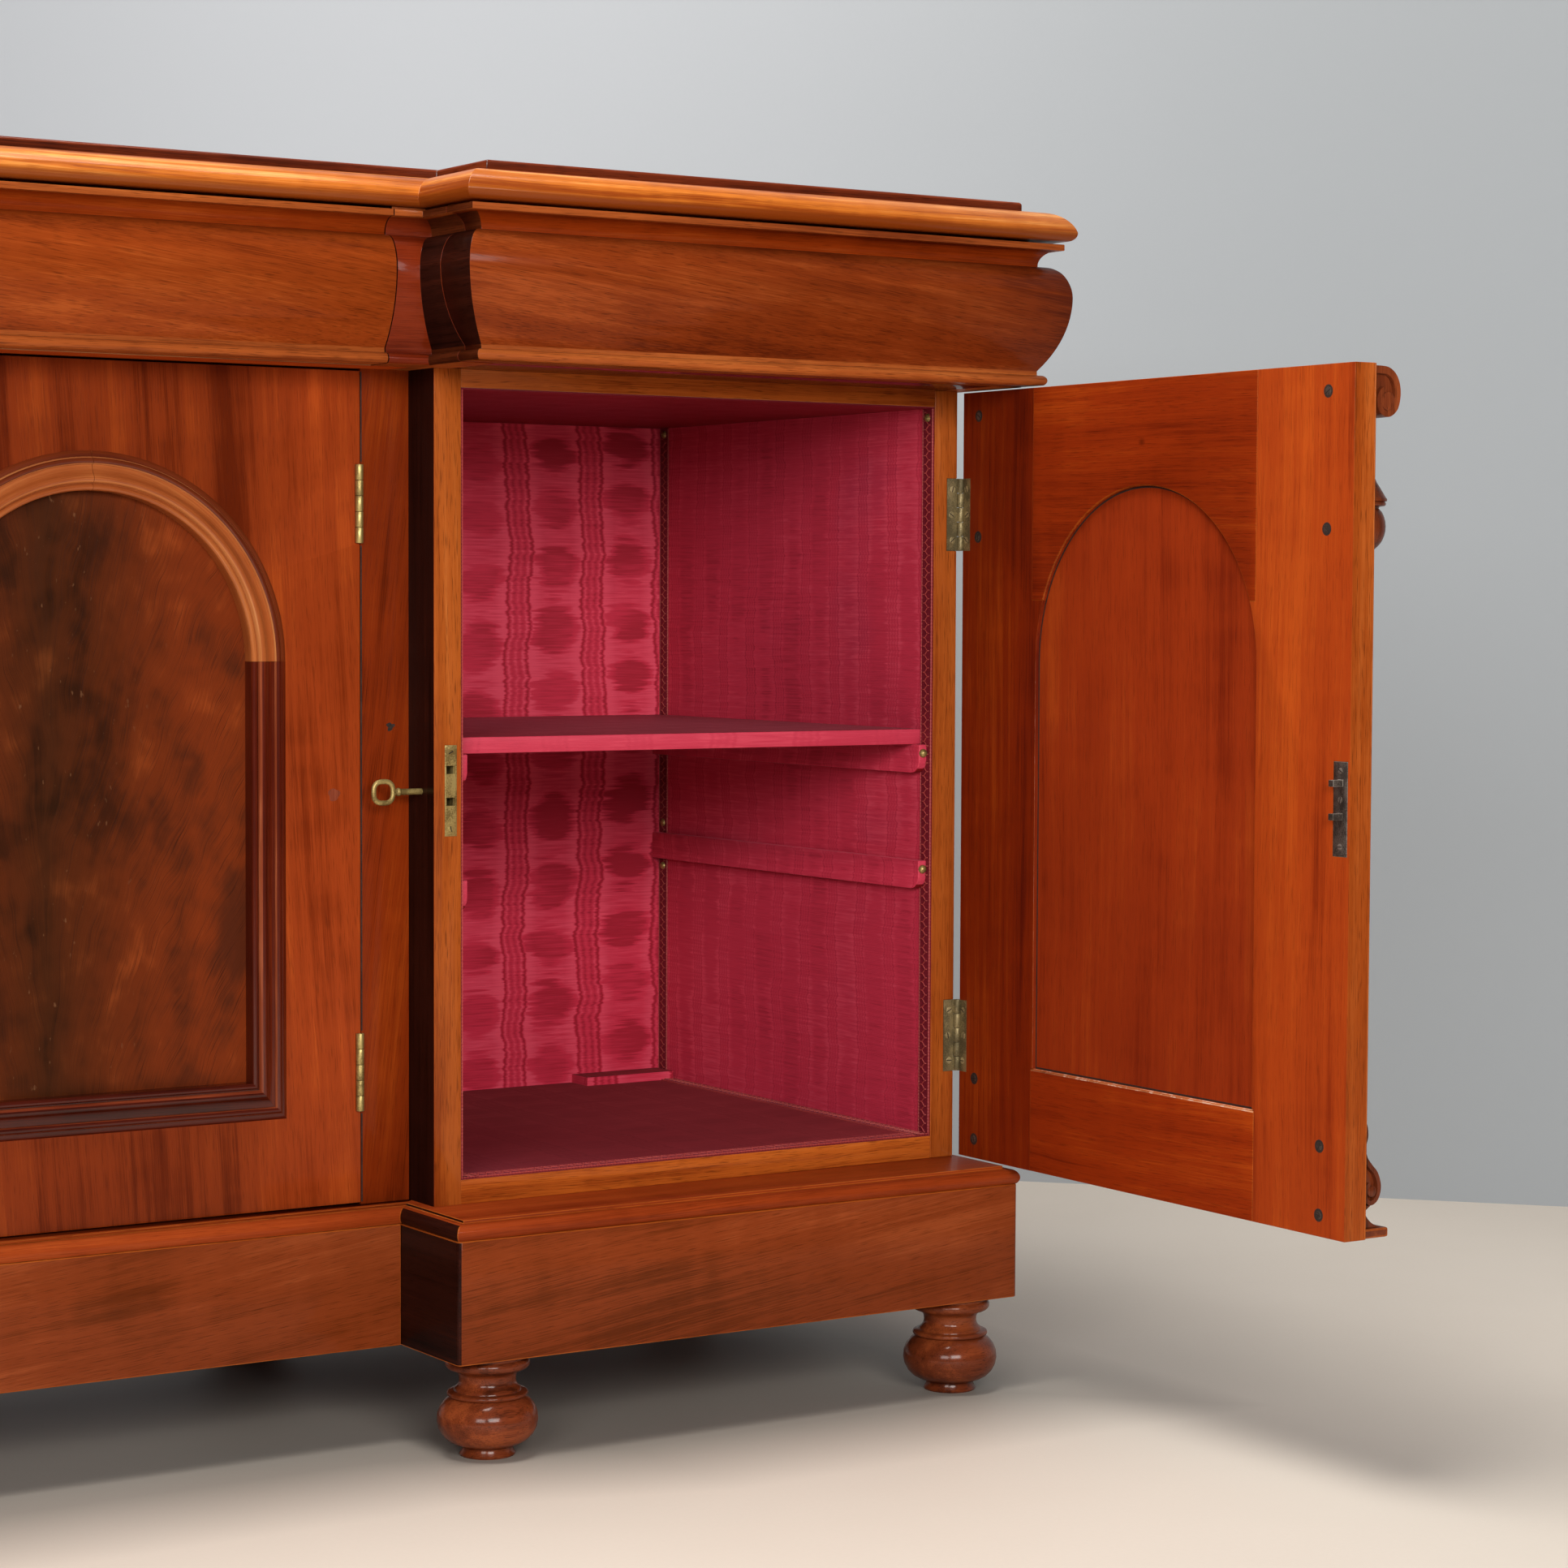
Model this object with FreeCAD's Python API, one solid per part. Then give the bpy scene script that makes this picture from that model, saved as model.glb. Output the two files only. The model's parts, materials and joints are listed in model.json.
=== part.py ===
import FreeCAD, Part
import math
import os

# A breakfront sideboard: two projecting wing cupboards with lay-on doors, a
# recessed centre with a pair of inset doors, and three drawers hidden in a
# cushion frieze. Millimetres, X along the length, -Y the front, +Z up.
# While modelling, X = 0 is the middle of the centre, Y = 0 the front of the
# wing carcasses and Z = 0 the floor. The last step moves everything so that
# the origin lies under the middle of the whole piece.

vector = FreeCAD.Vector
up = vector(0, 0, 1)
right_ward = vector(1, 0, 0)
left_ward = vector(-1, 0, 0)
front_ward = vector(0, -1, 0)
back_ward = vector(0, 1, 0)

half_turn = 180
full_turn = 360
upright_share = 0.999
octant_share = math.sqrt(1 / 2)
nearly = 1.0

# Plan
wing_inner = 496.5
wing_width = 509.5
side_board = 24.0
back_board = 12.0
depth = 470.0
centre_setback = 44.0
frieze_reach = 88.0
frieze_break = 81.5
plinth_reach = 77.0
plinth_break = 98.0
plinth_inner_lip = 19.0
plinth_outer_lip = 14.0
plinth_board = 20.0
plinth_block = 66.0
corner_round = 4.0

# Heights, each from the member below it
foot_height = 81.0
plinth_height = 98.0
moulding_height = 15.0
carcass_height = 667.5
frieze_height = 121.0
top_thickness = 24.5
platform_thickness = 9.0
floor_board = 19.5
rail_height = 14.5
runner_board = 11.5
platform_lip = 1.2
platform_round = 2.5

# Turned foot, radius at each height
foot_base_radius = 22.5
foot_base_waist = 19.5
foot_base_height = 8.0
foot_bulb_radius = 40.4
foot_bulb_height = 30.0
foot_bulb_top_radius = 29.0
foot_bulb_top = 47.5
foot_ring_radius = 32.3
foot_ring_height = 50.5
foot_ring_top_radius = 26.5
foot_ring_top = 54.0
foot_neck_radius = 22.6
foot_neck_height = 61.0
foot_disc_waist = 29.5
foot_disc_bottom = 69.5
foot_disc_radius = 33.8
foot_disc_middle = 75.0
foot_disc_top_radius = 32.6
foot_inset_side = 45.0
foot_inset_front = 36.0
foot_inset_back = 60.0

# Plinth moulding, how far it stands out of the plinth board at each height
# above that board
moulding_quirk_out = -1.0
moulding_out = 1.5
moulding_out_height = 6.5
moulding_shoulder_out = -6.0
moulding_shoulder_height = 12.5
moulding_fillet_out = -9.4
moulding_core_out = -14.0

# Frieze, how far each member stands out of the carcass line at each height
# above the soffit
bead_out = 17.5
bead_height = 4.5
bead_root_out = 13.0
bead_top = 8.8
cushion_foot_out = 11.1
cushion_foot = 12.5
cushion_belly_out = 27.5
cushion_belly = 43.5
cushion_out = 32.3
cushion_height = 73.5
cushion_turn_out = 30.7
cushion_turn = 84.0
cushion_shoulder_out = 27.2
cushion_shoulder = 92.0
cushion_brow_out = 21.5
cushion_brow = 97.6
cushion_top_out = 11.0
cushion_top = 99.5
cove_foot = 101.3
cove_middle_out = 14.8
cove_middle = 109.7
cove_top_out = 24.0
cove_top = 113.3
fillet_out = 27.1
fillet_top = 118.5
fillet_root_out = 22.0
frieze_back = 15.0
seam = 0.6
mitre_reach = 45.0

# Thumb moulding of the top, heights above its underside
thumb_start_out = 12.0
thumb_crown_out = 28.0
thumb_crown = 18.5
thumb_out = 35.0
thumb_nose = 7.5
thumb_turn_out = 33.8
thumb_turn = 2.7
thumb_foot_out = 29.5
thumb_core_out = 6.0

# Drawers
drawer_wall = 12.0
drawer_floor = 8.0
drawer_gap = 1.5
drawer_rise = 0.3
drawer_height = 92.7
drawer_back_gap = 9.5
drawer_foot_gap = 0.5
centre_corner_width = 51.5
centre_drawer_guide = 3.0
guide_height = 22.0
board_air = 1.0
partition_reach = 16.5

# Doors
door_thickness = 21.5
door_foot_gap = 1.5
door_head_gap = 2.0
wing_door_reveal = 4.0
door_air = 0.75
centre_stile_width = 43.0
centre_door_left = 0.6
stile_gap = 0.5
arch_centre_drop = 230.0
arch_opening_radius = 143.8
wing_arch_from_pin = 254.5
bottom_rail = 87.5
opening_bevel = 2.5
panel_recess = 3.5
panel_thickness = 9.0
open_angle = 89.4

# Applied moulding round the arch, radius from the arch centre and how far it
# stands out of the front of the door
arch_sight_radius = 130.8
arch_outer_radius = 161.0
arch_sight_out = -6.5
arch_bead_radius = 135.0
arch_bead_out = 4.5
arch_cove_radius = 143.0
arch_cove_out = 7.0
arch_cove_mid_radius = 148.5
arch_cove_mid_out = 3.4
arch_edge_radius = 153.5
arch_edge_out = 5.2
arch_lip_radius = 158.5
arch_lip_out = 4.0
arch_moulding_drop = 15.0

# Butt hinges
hinge_length = 62.5
hinge_from_end = 105.0
hinge_leaf = 1.6
wing_leaf_width = 14.0
centre_leaf_width = 19.0
knuckle_radius = 3.2
pin_radius = 1.4
pin_clearance = 0.05
knuckle_count = 5
knuckle_gap = 0.4
wing_pin_out = 3.5
wing_pin_front = 0.4
centre_pin_in = 1.0
centre_pin_front = 1.5
knuckle_notch = 3.5

# Carved consoles on the wing doors, drawn from the side. The upper ones are
# measured down from the top of the door, the lower one up from its foot.
console_inset = 26.0
console_width = 40.0
slab_width = 48.0
scroll_top = 2.0
scroll_brow_out = 19.0
scroll_brow = 5.0
scroll_out = 29.0
scroll_height = 17.5
scroll_chin_out = 26.0
scroll_chin = 34.0
scroll_bottom_out = 14.0
scroll_bottom = 40.0
scroll_tail = 33.5
drop_tip = 73.5
drop_cap_radius = 23.5
drop_cap = 102.5
drop_cap_side_radius = 12.5
drop_cap_side = 86.5
drop_neck_radius = 14.0
drop_neck = 108.0
drop_bulb_radius = 21.5
drop_bulb = 124.0
drop_bulb_foot_radius = 4.8
drop_bulb_foot = 142.5
drop_ball_radius = 6.4
drop_ball = 149.5
leaf_top = 92.5
leaf_out = 6.0
leaf_height = 81.5
leaf_foot_out = 2.0
leaf_foot = 66.5
volute_brow_out = 15.0
volute_brow = 51.5
volute_out = 20.5
volute_height = 35.5
volute_foot_out = 11.5
volute_foot = 24.0
cavetto_top_out = 3.0
cavetto_top = 20.5
cavetto_middle_out = 9.0
cavetto_middle = 12.4
cavetto_foot_out = 22.5
slab_out = 24.5
cavetto_foot = 7.5

# Shelves, bearers and linings
lining_thickness = 1.2
wing_shelf_rise = 341.5
wing_shelf_thickness = 13.5
wing_shelf_setback = 16.0
shelf_gap = 0.4
bearer_height = 25.0
bearer_thickness = 8.5
bearer_setback = 7.0
bearer_round = 12.0
lower_bearer_rise = 215.5
ledge_width = 96.0
ledge_depth = 30.0
ledge_height = 8.0
ledge_from_side = 2.0
centre_shelf_rise = 326.5
centre_shelf_thickness = 18.0
centre_shelf_setback = 40.0
stile_thickness = 22.0

# Link-plate lock and key, heights down from the key's axis
key_rise = 331.6
lock_inset = 14.9
plate_width = 10.8
plate_height = 72.7
plate_drop = 35.3
plate_thickness = 2.0
case_wall = 1.4
case_width = 9.6
case_height = 63.0
case_drop = 30.6
case_depth = 38.0
slot_drop = 7.7
slot_spacing = 25.4
slot_height = 6.4
slot_width = 7.6
link_width = 5.6
link_length = 9.5
link_height = 5.0
link_hole_width = 3.6
link_hole_start = 2.6
link_hole_length = 4.8
link_plate_width = 16.0
link_plate_drop = 38.1
link_plate_height = 72.0
link_plate_thickness = 1.6
bolt_thickness = 3.2
bolt_front = 13.0
bolt_back = 18.4
bolt_drop = 24.6
bolt_height = 44.0
bolt_notch_low = 11.3
bolt_notch_high = 5.0
prong_front = 3.6
prong_back = 6.4
prong_arm = 3.0
prong_clear = 0.8
prong_drop = 9.3
key_setback = 21.7
key_radius = 2.5
key_hole_radius = 2.7
key_bit_length = 8.2
key_bit_height = 2.6
key_bit_width = 3.2
key_tip = 2.6
key_reach = 34.0
key_bow_radius = 9.0
key_wire = 2.0
key_collar_radius = 3.4
key_collar_length = 3.0
keyhole_slit = 3.2
keyhole_drop = 11.5

# Lines worked out from the dimensions above
wing_outer = wing_inner + wing_width
plinth_top = foot_height + plinth_height
carcass_bottom = plinth_top + moulding_height
inside_floor = carcass_bottom + floor_board
soffit_height = carcass_bottom + carcass_height
rail_bottom = soffit_height - rail_height
runner_top = soffit_height + runner_board
top_underside = soffit_height + frieze_height
top_surface = top_underside + top_thickness
full_height = top_surface + platform_thickness
carcass_front = 0.0
centre_front = centre_setback
frieze_front = -frieze_reach
frieze_centre_front = frieze_front + frieze_break
plinth_front = -plinth_reach
plinth_centre_front = plinth_front + plinth_break
plinth_inner = wing_inner - plinth_inner_lip
plinth_outer = wing_outer + plinth_outer_lip
inside_inner = wing_inner + side_board
inside_outer = wing_outer - side_board
inside_back = depth - back_board
drawer_wall_inner = wing_inner + frieze_back
drawer_wall_outer = wing_outer - frieze_back
drawer_front_back = frieze_front + frieze_back
centre_drawer_back = frieze_centre_front + frieze_back
partition_inner = wing_inner - partition_reach
centre_drawer_half = wing_inner - centre_corner_width
drawer_depth = inside_back - centre_drawer_back - drawer_back_gap
door_bottom = carcass_bottom + door_foot_gap
door_top = soffit_height - door_head_gap
wing_door_left = wing_inner + wing_door_reveal
centre_door_right = wing_inner - centre_stile_width - stile_gap
arch_centre_height = door_top - arch_centre_drop
opening_bottom = door_bottom + bottom_rail
arch_moulding_bottom = opening_bottom - arch_moulding_drop
hinge_upper = door_top - hinge_from_end
hinge_lower = door_bottom + hinge_from_end
wing_pin = vector(wing_outer + wing_pin_out, -wing_pin_front, 0)
centre_pin = vector(centre_door_right - centre_pin_in, centre_front - centre_pin_front, 0)
wing_door_inner_face = -door_air
wing_door_face = wing_door_inner_face - door_thickness
wing_arch_centre = wing_pin.x - wing_arch_from_pin
centre_arch_centre = (centre_door_left + centre_door_right) / 2
wing_shelf_bottom = inside_floor + wing_shelf_rise
lower_bearer_bottom = inside_floor + lower_bearer_rise
centre_shelf_bottom = inside_floor + centre_shelf_rise
key_height = carcass_bottom + key_rise
lock_middle = wing_inner + lock_inset
plate_bottom = key_height - plate_drop
case_left = lock_middle - case_width / 2
case_right = lock_middle + case_width / 2
case_bottom = key_height - case_drop
case_top = case_bottom + case_height
slot_low = key_height - slot_drop
slot_high = slot_low + slot_spacing
link_plate_left = lock_middle - link_plate_width / 2
link_plate_bottom = key_height - link_plate_drop
bolt_bottom = key_height - bolt_drop
key_end = lock_middle + key_tip
key_bow_middle = wing_inner - key_reach
whole_reach = 3 * depth

nodes = {}


def box(x_low, x_high, y_low, y_high, z_low, z_high):
    corner = vector(x_low, y_low, z_low)
    return Part.makeBox(x_high - x_low, y_high - y_low, z_high - z_low, corner)


def fused(shapes):
    whole = shapes[0].multiFuse(shapes[1:]) if len(shapes) > 1 else shapes[0]
    return whole.removeSplitter()


def mirrored(shape):
    return shape.mirror(vector(0, 0, 0), right_ward)


# A section is a list of steps: a pair is the next corner, and a triple of
# pairs' values (middle out, middle height, out, height) is an arc.
def section_face(section, place):
    here = section[0]
    edges = []
    for step in section[1:] + [section[0]]:
        there = step[-2:]
        if len(step) > 2:
            arc = Part.Arc(place(*here), place(*step[:2]), place(*there))
            edges.append(arc.toShape())
        elif there != here:
            edges.append(Part.makeLine(place(*here), place(*there)))
        here = there
    return Part.Face(Part.Wire(edges))


def plan_prism(corners):
    wire = Part.makePolygon(corners + corners[:1])
    return Part.Face(wire).extrude(up * whole_reach)


# A straight length of moulding whose ends are cut along the given mitre
# directions. The mitre plane passes through the end of the reference line.
def moulded_run(section, start, end, outward, start_mitre, end_mitre):
    along = (end - start).normalize()

    def place(out, height):
        return start + outward * out + up * height - along * depth

    bar = section_face(section, place).extrude(along * ((end - start).Length + depth + depth))
    plan = [start + start_mitre * mitre_reach, end + end_mitre * mitre_reach]
    plan += [end - end_mitre * frieze_back, start - start_mitre * frieze_back]
    if (plan[3] - plan[2]).Length < seam:
        plan.pop()
    return bar.common(plan_prism(plan))


# Mouldings that follow a line of points, with each corner mitred. The last
# end is square, and so is the first unless another piece meets it there.
def moulded_path(section, points, outwards, first_mitre=None):
    mitres = [first_mitre or outwards[0]]
    mitres += [outwards[i] + outwards[i + 1] for i in range(len(outwards) - 1)]
    mitres.append(outwards[-1])
    runs = []
    for i, outward in enumerate(outwards):
        ends = points[i], points[i + 1]
        runs.append(moulded_run(section, *ends, outward, mitres[i], mitres[i + 1]))
    return runs


def revolved(section, centre, angle):
    face = section_face(section, lambda out, height: centre + left_ward * out + up * height)
    return face.revolve(centre, up, angle)


def flat(x, y):
    return vector(x, y, 0)


def on_plinth(x, y):
    return vector(x, y, plinth_top)


def on_soffit(x, y):
    return vector(x, y, soffit_height)


# Base

def plinth_frame():
    outside = box(plinth_inner, plinth_outer, plinth_front, depth, foot_height, plinth_top)
    corners = [
        edge for edge in outside.Edges
        if abs(edge.tangentAt(edge.FirstParameter).z) > upright_share
        and edge.CenterOfMass.y < plinth_front + nearly
    ]
    outside = outside.makeFillet(corner_round, corners)
    low, high = plinth_inner + plinth_board, plinth_outer - plinth_board
    near, far = plinth_front + plinth_board, depth - plinth_board
    wide = box(low, high, plinth_front + plinth_block, depth - plinth_block, foot_height,
               plinth_top)
    deep = box(plinth_inner + plinth_block, plinth_outer - plinth_block, near, far,
               foot_height, plinth_top)
    return outside.cut(wide).cut(deep)


plinth_section = [
    (moulding_core_out, 0),
    (moulding_quirk_out, 0),
    (moulding_out, moulding_out_height, moulding_shoulder_out, moulding_shoulder_height),
    (moulding_fillet_out, moulding_shoulder_height),
    (moulding_fillet_out, moulding_height),
    (moulding_core_out, moulding_height),
]


def plinth_moulding():
    corner = on_plinth(plinth_inner, plinth_centre_front)
    points = [corner, on_plinth(plinth_inner, plinth_front), on_plinth(plinth_outer, plinth_front),
              on_plinth(plinth_outer, depth)]
    runs = moulded_path(plinth_section, points, [left_ward, front_ward, right_ward],
                        left_ward + front_ward)
    core = -moulding_core_out
    board = box(plinth_inner + core, plinth_outer - core, plinth_front + core, depth,
                plinth_top, carcass_bottom)
    wing = fused([board] + runs)
    mirror_corner = on_plinth(-plinth_inner, plinth_centre_front)
    centre_run = moulded_run(plinth_section, mirror_corner, corner, front_ward,
                             right_ward + front_ward, left_ward + front_ward)
    centre_board = box(-plinth_inner - core, plinth_inner + core, plinth_centre_front + core,
                       depth, plinth_top, carcass_bottom)
    centre = fused([centre_board, centre_run])
    return Part.makeCompound([mirrored(wing), centre.cut(wing).cut(mirrored(wing)), wing])


foot_section = [
    (0, 0),
    (foot_base_radius, 0),
    (foot_base_waist, foot_base_height),
    (foot_bulb_radius, foot_bulb_height, foot_bulb_top_radius, foot_bulb_top),
    (foot_ring_radius, foot_ring_height, foot_ring_top_radius, foot_ring_top),
    (foot_neck_radius, foot_neck_height, foot_disc_waist, foot_disc_bottom),
    (foot_disc_radius, foot_disc_middle, foot_disc_top_radius, foot_height),
    (0, foot_height),
]


def foot(x, y):
    return revolved(foot_section, flat(x, y), full_turn)


# Carcass

def lock_plate():
    return box(lock_middle - plate_width / 2, lock_middle + plate_width / 2, carcass_front,
               plate_thickness, plate_bottom, plate_bottom + plate_height)


def side_inner():
    board = box(wing_inner, inside_inner, carcass_front, depth, carcass_bottom, soffit_height)
    mortise = box(case_left, case_right, carcass_front, case_depth, case_bottom, case_top)
    axis = vector(wing_inner, key_setback, key_height)
    hole = Part.makeCylinder(key_hole_radius, case_left - wing_inner, axis, right_ward)
    slit = box(wing_inner, case_left, key_setback - keyhole_slit / 2,
               key_setback + keyhole_slit / 2, key_height - keyhole_drop, key_height)
    return board.cut(mortise).cut(lock_plate()).cut(hole).cut(slit)


def wing_back():
    lower = box(inside_inner, inside_outer, inside_back, depth, carcass_bottom, top_underside)
    upper = box(drawer_wall_inner, drawer_wall_outer, inside_back, depth, soffit_height,
                top_underside)
    return fused([lower, upper])


def wing_ceiling():
    rail = box(inside_inner, inside_outer, carcass_front, inside_back, rail_bottom, soffit_height)
    board = box(drawer_wall_inner, drawer_wall_outer, drawer_front_back + board_air, inside_back,
                soffit_height, runner_top)
    return fused([rail, board])


def centre_ceiling():
    front = centre_front + door_thickness + board_air
    rail = box(-wing_inner, wing_inner, front, inside_back, rail_bottom, soffit_height)
    board = box(-partition_inner, partition_inner, centre_drawer_back + board_air, inside_back,
                soffit_height, runner_top)
    guide = box(centre_drawer_half, partition_inner, centre_drawer_back + board_air,
                inside_back, runner_top, runner_top + guide_height)
    return fused([rail, board, guide, mirrored(guide)])


def centre_back():
    upper = box(-partition_inner, partition_inner, inside_back, depth, soffit_height,
                top_underside)
    lower = box(-wing_inner, wing_inner, inside_back, depth, carcass_bottom, soffit_height)
    return fused([lower, upper])


def centre_stile():
    stile = box(centre_door_right + stile_gap, wing_inner, centre_front,
                centre_front + stile_thickness, carcass_bottom, soffit_height)
    for height in (hinge_lower, hinge_upper):
        stile = stile.cut(knuckle_space(centre_pin, height))
        stile = stile.cut(centre_leaf(height, 1))
    return stile


# Frieze

frieze_section = [
    (-frieze_back, 0),
    (bead_root_out, 0),
    (bead_out, bead_height, bead_root_out, bead_top),
    (cushion_foot_out, bead_top),
    (cushion_foot_out, cushion_foot),
    (cushion_belly_out, cushion_belly, cushion_out, cushion_height),
    (cushion_turn_out, cushion_turn, cushion_shoulder_out, cushion_shoulder),
    (cushion_brow_out, cushion_brow, cushion_top_out, cushion_top),
    (cushion_top_out, cove_foot),
    (cove_middle_out, cove_middle, cove_top_out, cove_top),
    (fillet_out, cove_top),
    (fillet_out, fillet_top),
    (fillet_root_out, fillet_top),
    (fillet_root_out, frieze_height),
    (-frieze_back, frieze_height),
]
seam_line = frieze_front + frieze_back


def frieze_corner():
    start = on_soffit(wing_inner, seam_line + seam)
    corner = on_soffit(wing_inner, frieze_centre_front)
    end = on_soffit(centre_drawer_half, frieze_centre_front)
    mitre = left_ward + front_ward
    inner_return = moulded_run(frieze_section, start, corner, left_ward, left_ward, mitre)
    centre_piece = moulded_run(frieze_section, corner, end, front_ward, mitre, front_ward)
    partition = box(partition_inner, drawer_wall_inner, centre_drawer_back, depth,
                    soffit_height, top_underside)
    return fused([inner_return, centre_piece, partition])


def frieze_side():
    start = on_soffit(wing_outer, seam_line + seam)
    end = on_soffit(wing_outer, depth)
    return moulded_run(frieze_section, start, end, right_ward, right_ward, right_ward)


def drawer_front_trim(front, back_plane):
    top_gap = box(-whole_reach, whole_reach, -depth, depth, soffit_height + fillet_top, full_height)
    foot_gap = box(-whole_reach, whole_reach, -depth, depth, 0, soffit_height + drawer_foot_gap)
    behind = box(-whole_reach, whole_reach, back_plane, depth, 0, full_height)
    return front.cut(top_gap).cut(foot_gap).cut(behind)


def wing_drawer_front():
    points = [on_soffit(wing_inner, seam_line), on_soffit(wing_inner, frieze_front),
              on_soffit(wing_outer, frieze_front), on_soffit(wing_outer, seam_line)]
    runs = moulded_path(frieze_section, points, [left_ward, front_ward, right_ward])
    return drawer_front_trim(fused(runs), seam_line)


def centre_drawer_front():
    end = centre_drawer_half - seam
    run = moulded_run(frieze_section, on_soffit(-end, frieze_centre_front),
                      on_soffit(end, frieze_centre_front), front_ward, front_ward, front_ward)
    return drawer_front_trim(run, centre_drawer_back)


def drawer_box(x_low, x_high, y_front):
    bottom = runner_top + drawer_rise
    top = bottom + drawer_height
    back = y_front + drawer_depth
    outside = box(x_low, x_high, y_front, back, bottom, top)
    inside = box(x_low + drawer_wall, x_high - drawer_wall, y_front, back - drawer_wall,
                 bottom + drawer_floor, top)
    return outside.cut(inside)


# Top

thumb_section = [
    (0, 0),
    (thumb_foot_out, 0),
    (thumb_turn_out, thumb_turn, thumb_out, thumb_nose),
    (thumb_crown_out, thumb_crown, thumb_start_out, top_thickness),
    (0, top_thickness),
]


def breakfront_points(lip, height):
    front, centre = frieze_front - lip, frieze_centre_front - lip
    inner, outer = wing_inner - lip, wing_outer + lip
    corners = (inner, centre), (inner, front), (outer, front), (outer, depth)
    right_side = [vector(x, y, height) for x, y in corners]
    return [vector(-x, y, height) for x, y in reversed(corners)] + right_side


def slab(outline, thickness):
    return Part.Face(Part.makePolygon(outline + outline[:1])).extrude(up * thickness)


def moulded_top():
    sides = [left_ward, front_ward, right_ward]
    outline = breakfront_points(0, top_underside)
    runs = moulded_path(thumb_section, outline, sides + [front_ward] + sides)
    return fused([slab(outline, top_thickness)] + runs)


def top_platform():
    board = slab(breakfront_points(platform_lip, top_surface), platform_thickness)
    rim = [
        edge for edge in board.Edges
        if edge.BoundBox.ZMin > full_height - platform_round and edge.BoundBox.YMin < inside_back
    ]
    return board.makeFillet(platform_round, rim)


# Hinges

def knuckle_span(height, index):
    step = hinge_length / knuckle_count
    low = height - hinge_length / 2 + index * step + knuckle_gap / 2
    return low, step - knuckle_gap


def barrels(pin, height, first):
    pieces = []
    for index in range(first, knuckle_count, 2):
        low, length = knuckle_span(height, index)
        pieces.append(Part.makeCylinder(knuckle_radius, length, pin + up * low))
    return pieces


def knuckle_space(pin, height):
    low = height - hinge_length / 2
    return Part.makeCylinder(knuckle_notch, hinge_length, pin + up * low)


def finished_leaf(plate, pin, height, first):
    for index in range(1 - first, knuckle_count, 2):
        low, length = knuckle_span(height, index)
        low -= knuckle_gap
        length += knuckle_gap * 2
        plate = plate.cut(Part.makeCylinder(knuckle_notch, length, pin + up * low))
    leaf = fused([plate] + barrels(pin, height, first))
    low = height - hinge_length / 2
    if first:
        bore = Part.makeCylinder(pin_radius + pin_clearance, hinge_length, pin + up * low)
        return leaf.cut(bore)
    return fused([leaf, Part.makeCylinder(pin_radius, hinge_length, pin + up * low)])


def wing_leaf(height, side):
    low, high = height - hinge_length / 2, height + hinge_length / 2
    start = wing_pin.x - wing_leaf_width
    near, far = carcass_front, carcass_front + hinge_leaf
    if side:
        near, far = wing_door_inner_face - hinge_leaf, wing_door_inner_face
    return box(start, wing_pin.x, near, far, low, high)


def centre_leaf(height, side):
    low, high = height - hinge_length / 2, height + hinge_length / 2
    far = centre_pin.y + centre_leaf_width
    face = centre_door_right + stile_gap if side else centre_door_right - hinge_leaf
    return box(face, face + hinge_leaf, centre_pin.y, far, low, high)


def hinge_leaves(pin, plate_maker, side, first):
    leaves = []
    for height in (hinge_lower, hinge_upper):
        leaves.append(finished_leaf(plate_maker(height, side), pin, height, first))
    return leaves


# Doors

def arched(centre, radius, bottom, near, far):
    straight = box(centre - radius, centre + radius, near, far, bottom, arch_centre_height)
    crown = Part.makeCylinder(radius, far - near, vector(centre, near, arch_centre_height),
                              back_ward)
    return fused([straight, crown])


arch_section = [
    (arch_opening_radius, arch_sight_out),
    (arch_sight_radius, arch_sight_out),
    (arch_sight_radius, 0),
    (arch_bead_radius, arch_bead_out, arch_cove_radius, arch_cove_out),
    (arch_cove_mid_radius, arch_cove_mid_out, arch_edge_radius, arch_edge_out),
    (arch_lip_radius, arch_lip_out, arch_outer_radius, 0),
    (arch_opening_radius, 0),
]


# The applied moulding: half a turn over the arch, two legs and a foot, with
# mitres at the bottom corners.
def arch_moulding(centre, face):
    middle = vector(centre, face, arch_centre_height)

    def spring(out, proud):
        return middle + right_ward * out + front_ward * proud

    crown = section_face(arch_section, spring).revolve(middle, front_ward, half_turn)
    drop = arch_centre_height - arch_moulding_bottom
    leg = section_face(arch_section, spring).extrude(-up * drop)
    corner = vector(centre + arch_outer_radius, face - depth, arch_moulding_bottom)
    inward = vector(-arch_outer_radius, 0, arch_outer_radius)
    keep = [corner, corner + inward, corner + inward + up * drop, corner + up * drop]
    leg = leg.common(Part.Face(Part.makePolygon(keep + keep[:1])).extrude(back_ward * depth * 2))

    def sill(out, proud):
        height = arch_moulding_bottom + arch_outer_radius - out
        return vector(centre, face - proud, height)

    foot_run = section_face(arch_section, sill).extrude(right_ward * arch_outer_radius)
    under = [corner, corner + inward, corner - right_ward * arch_outer_radius]
    foot_run = foot_run.common(
        Part.Face(Part.makePolygon(under + under[:1])).extrude(back_ward * depth * 2))
    half = fused([leg, foot_run])
    other = half.mirror(middle, right_ward)
    return fused([crown, half, other])


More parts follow.
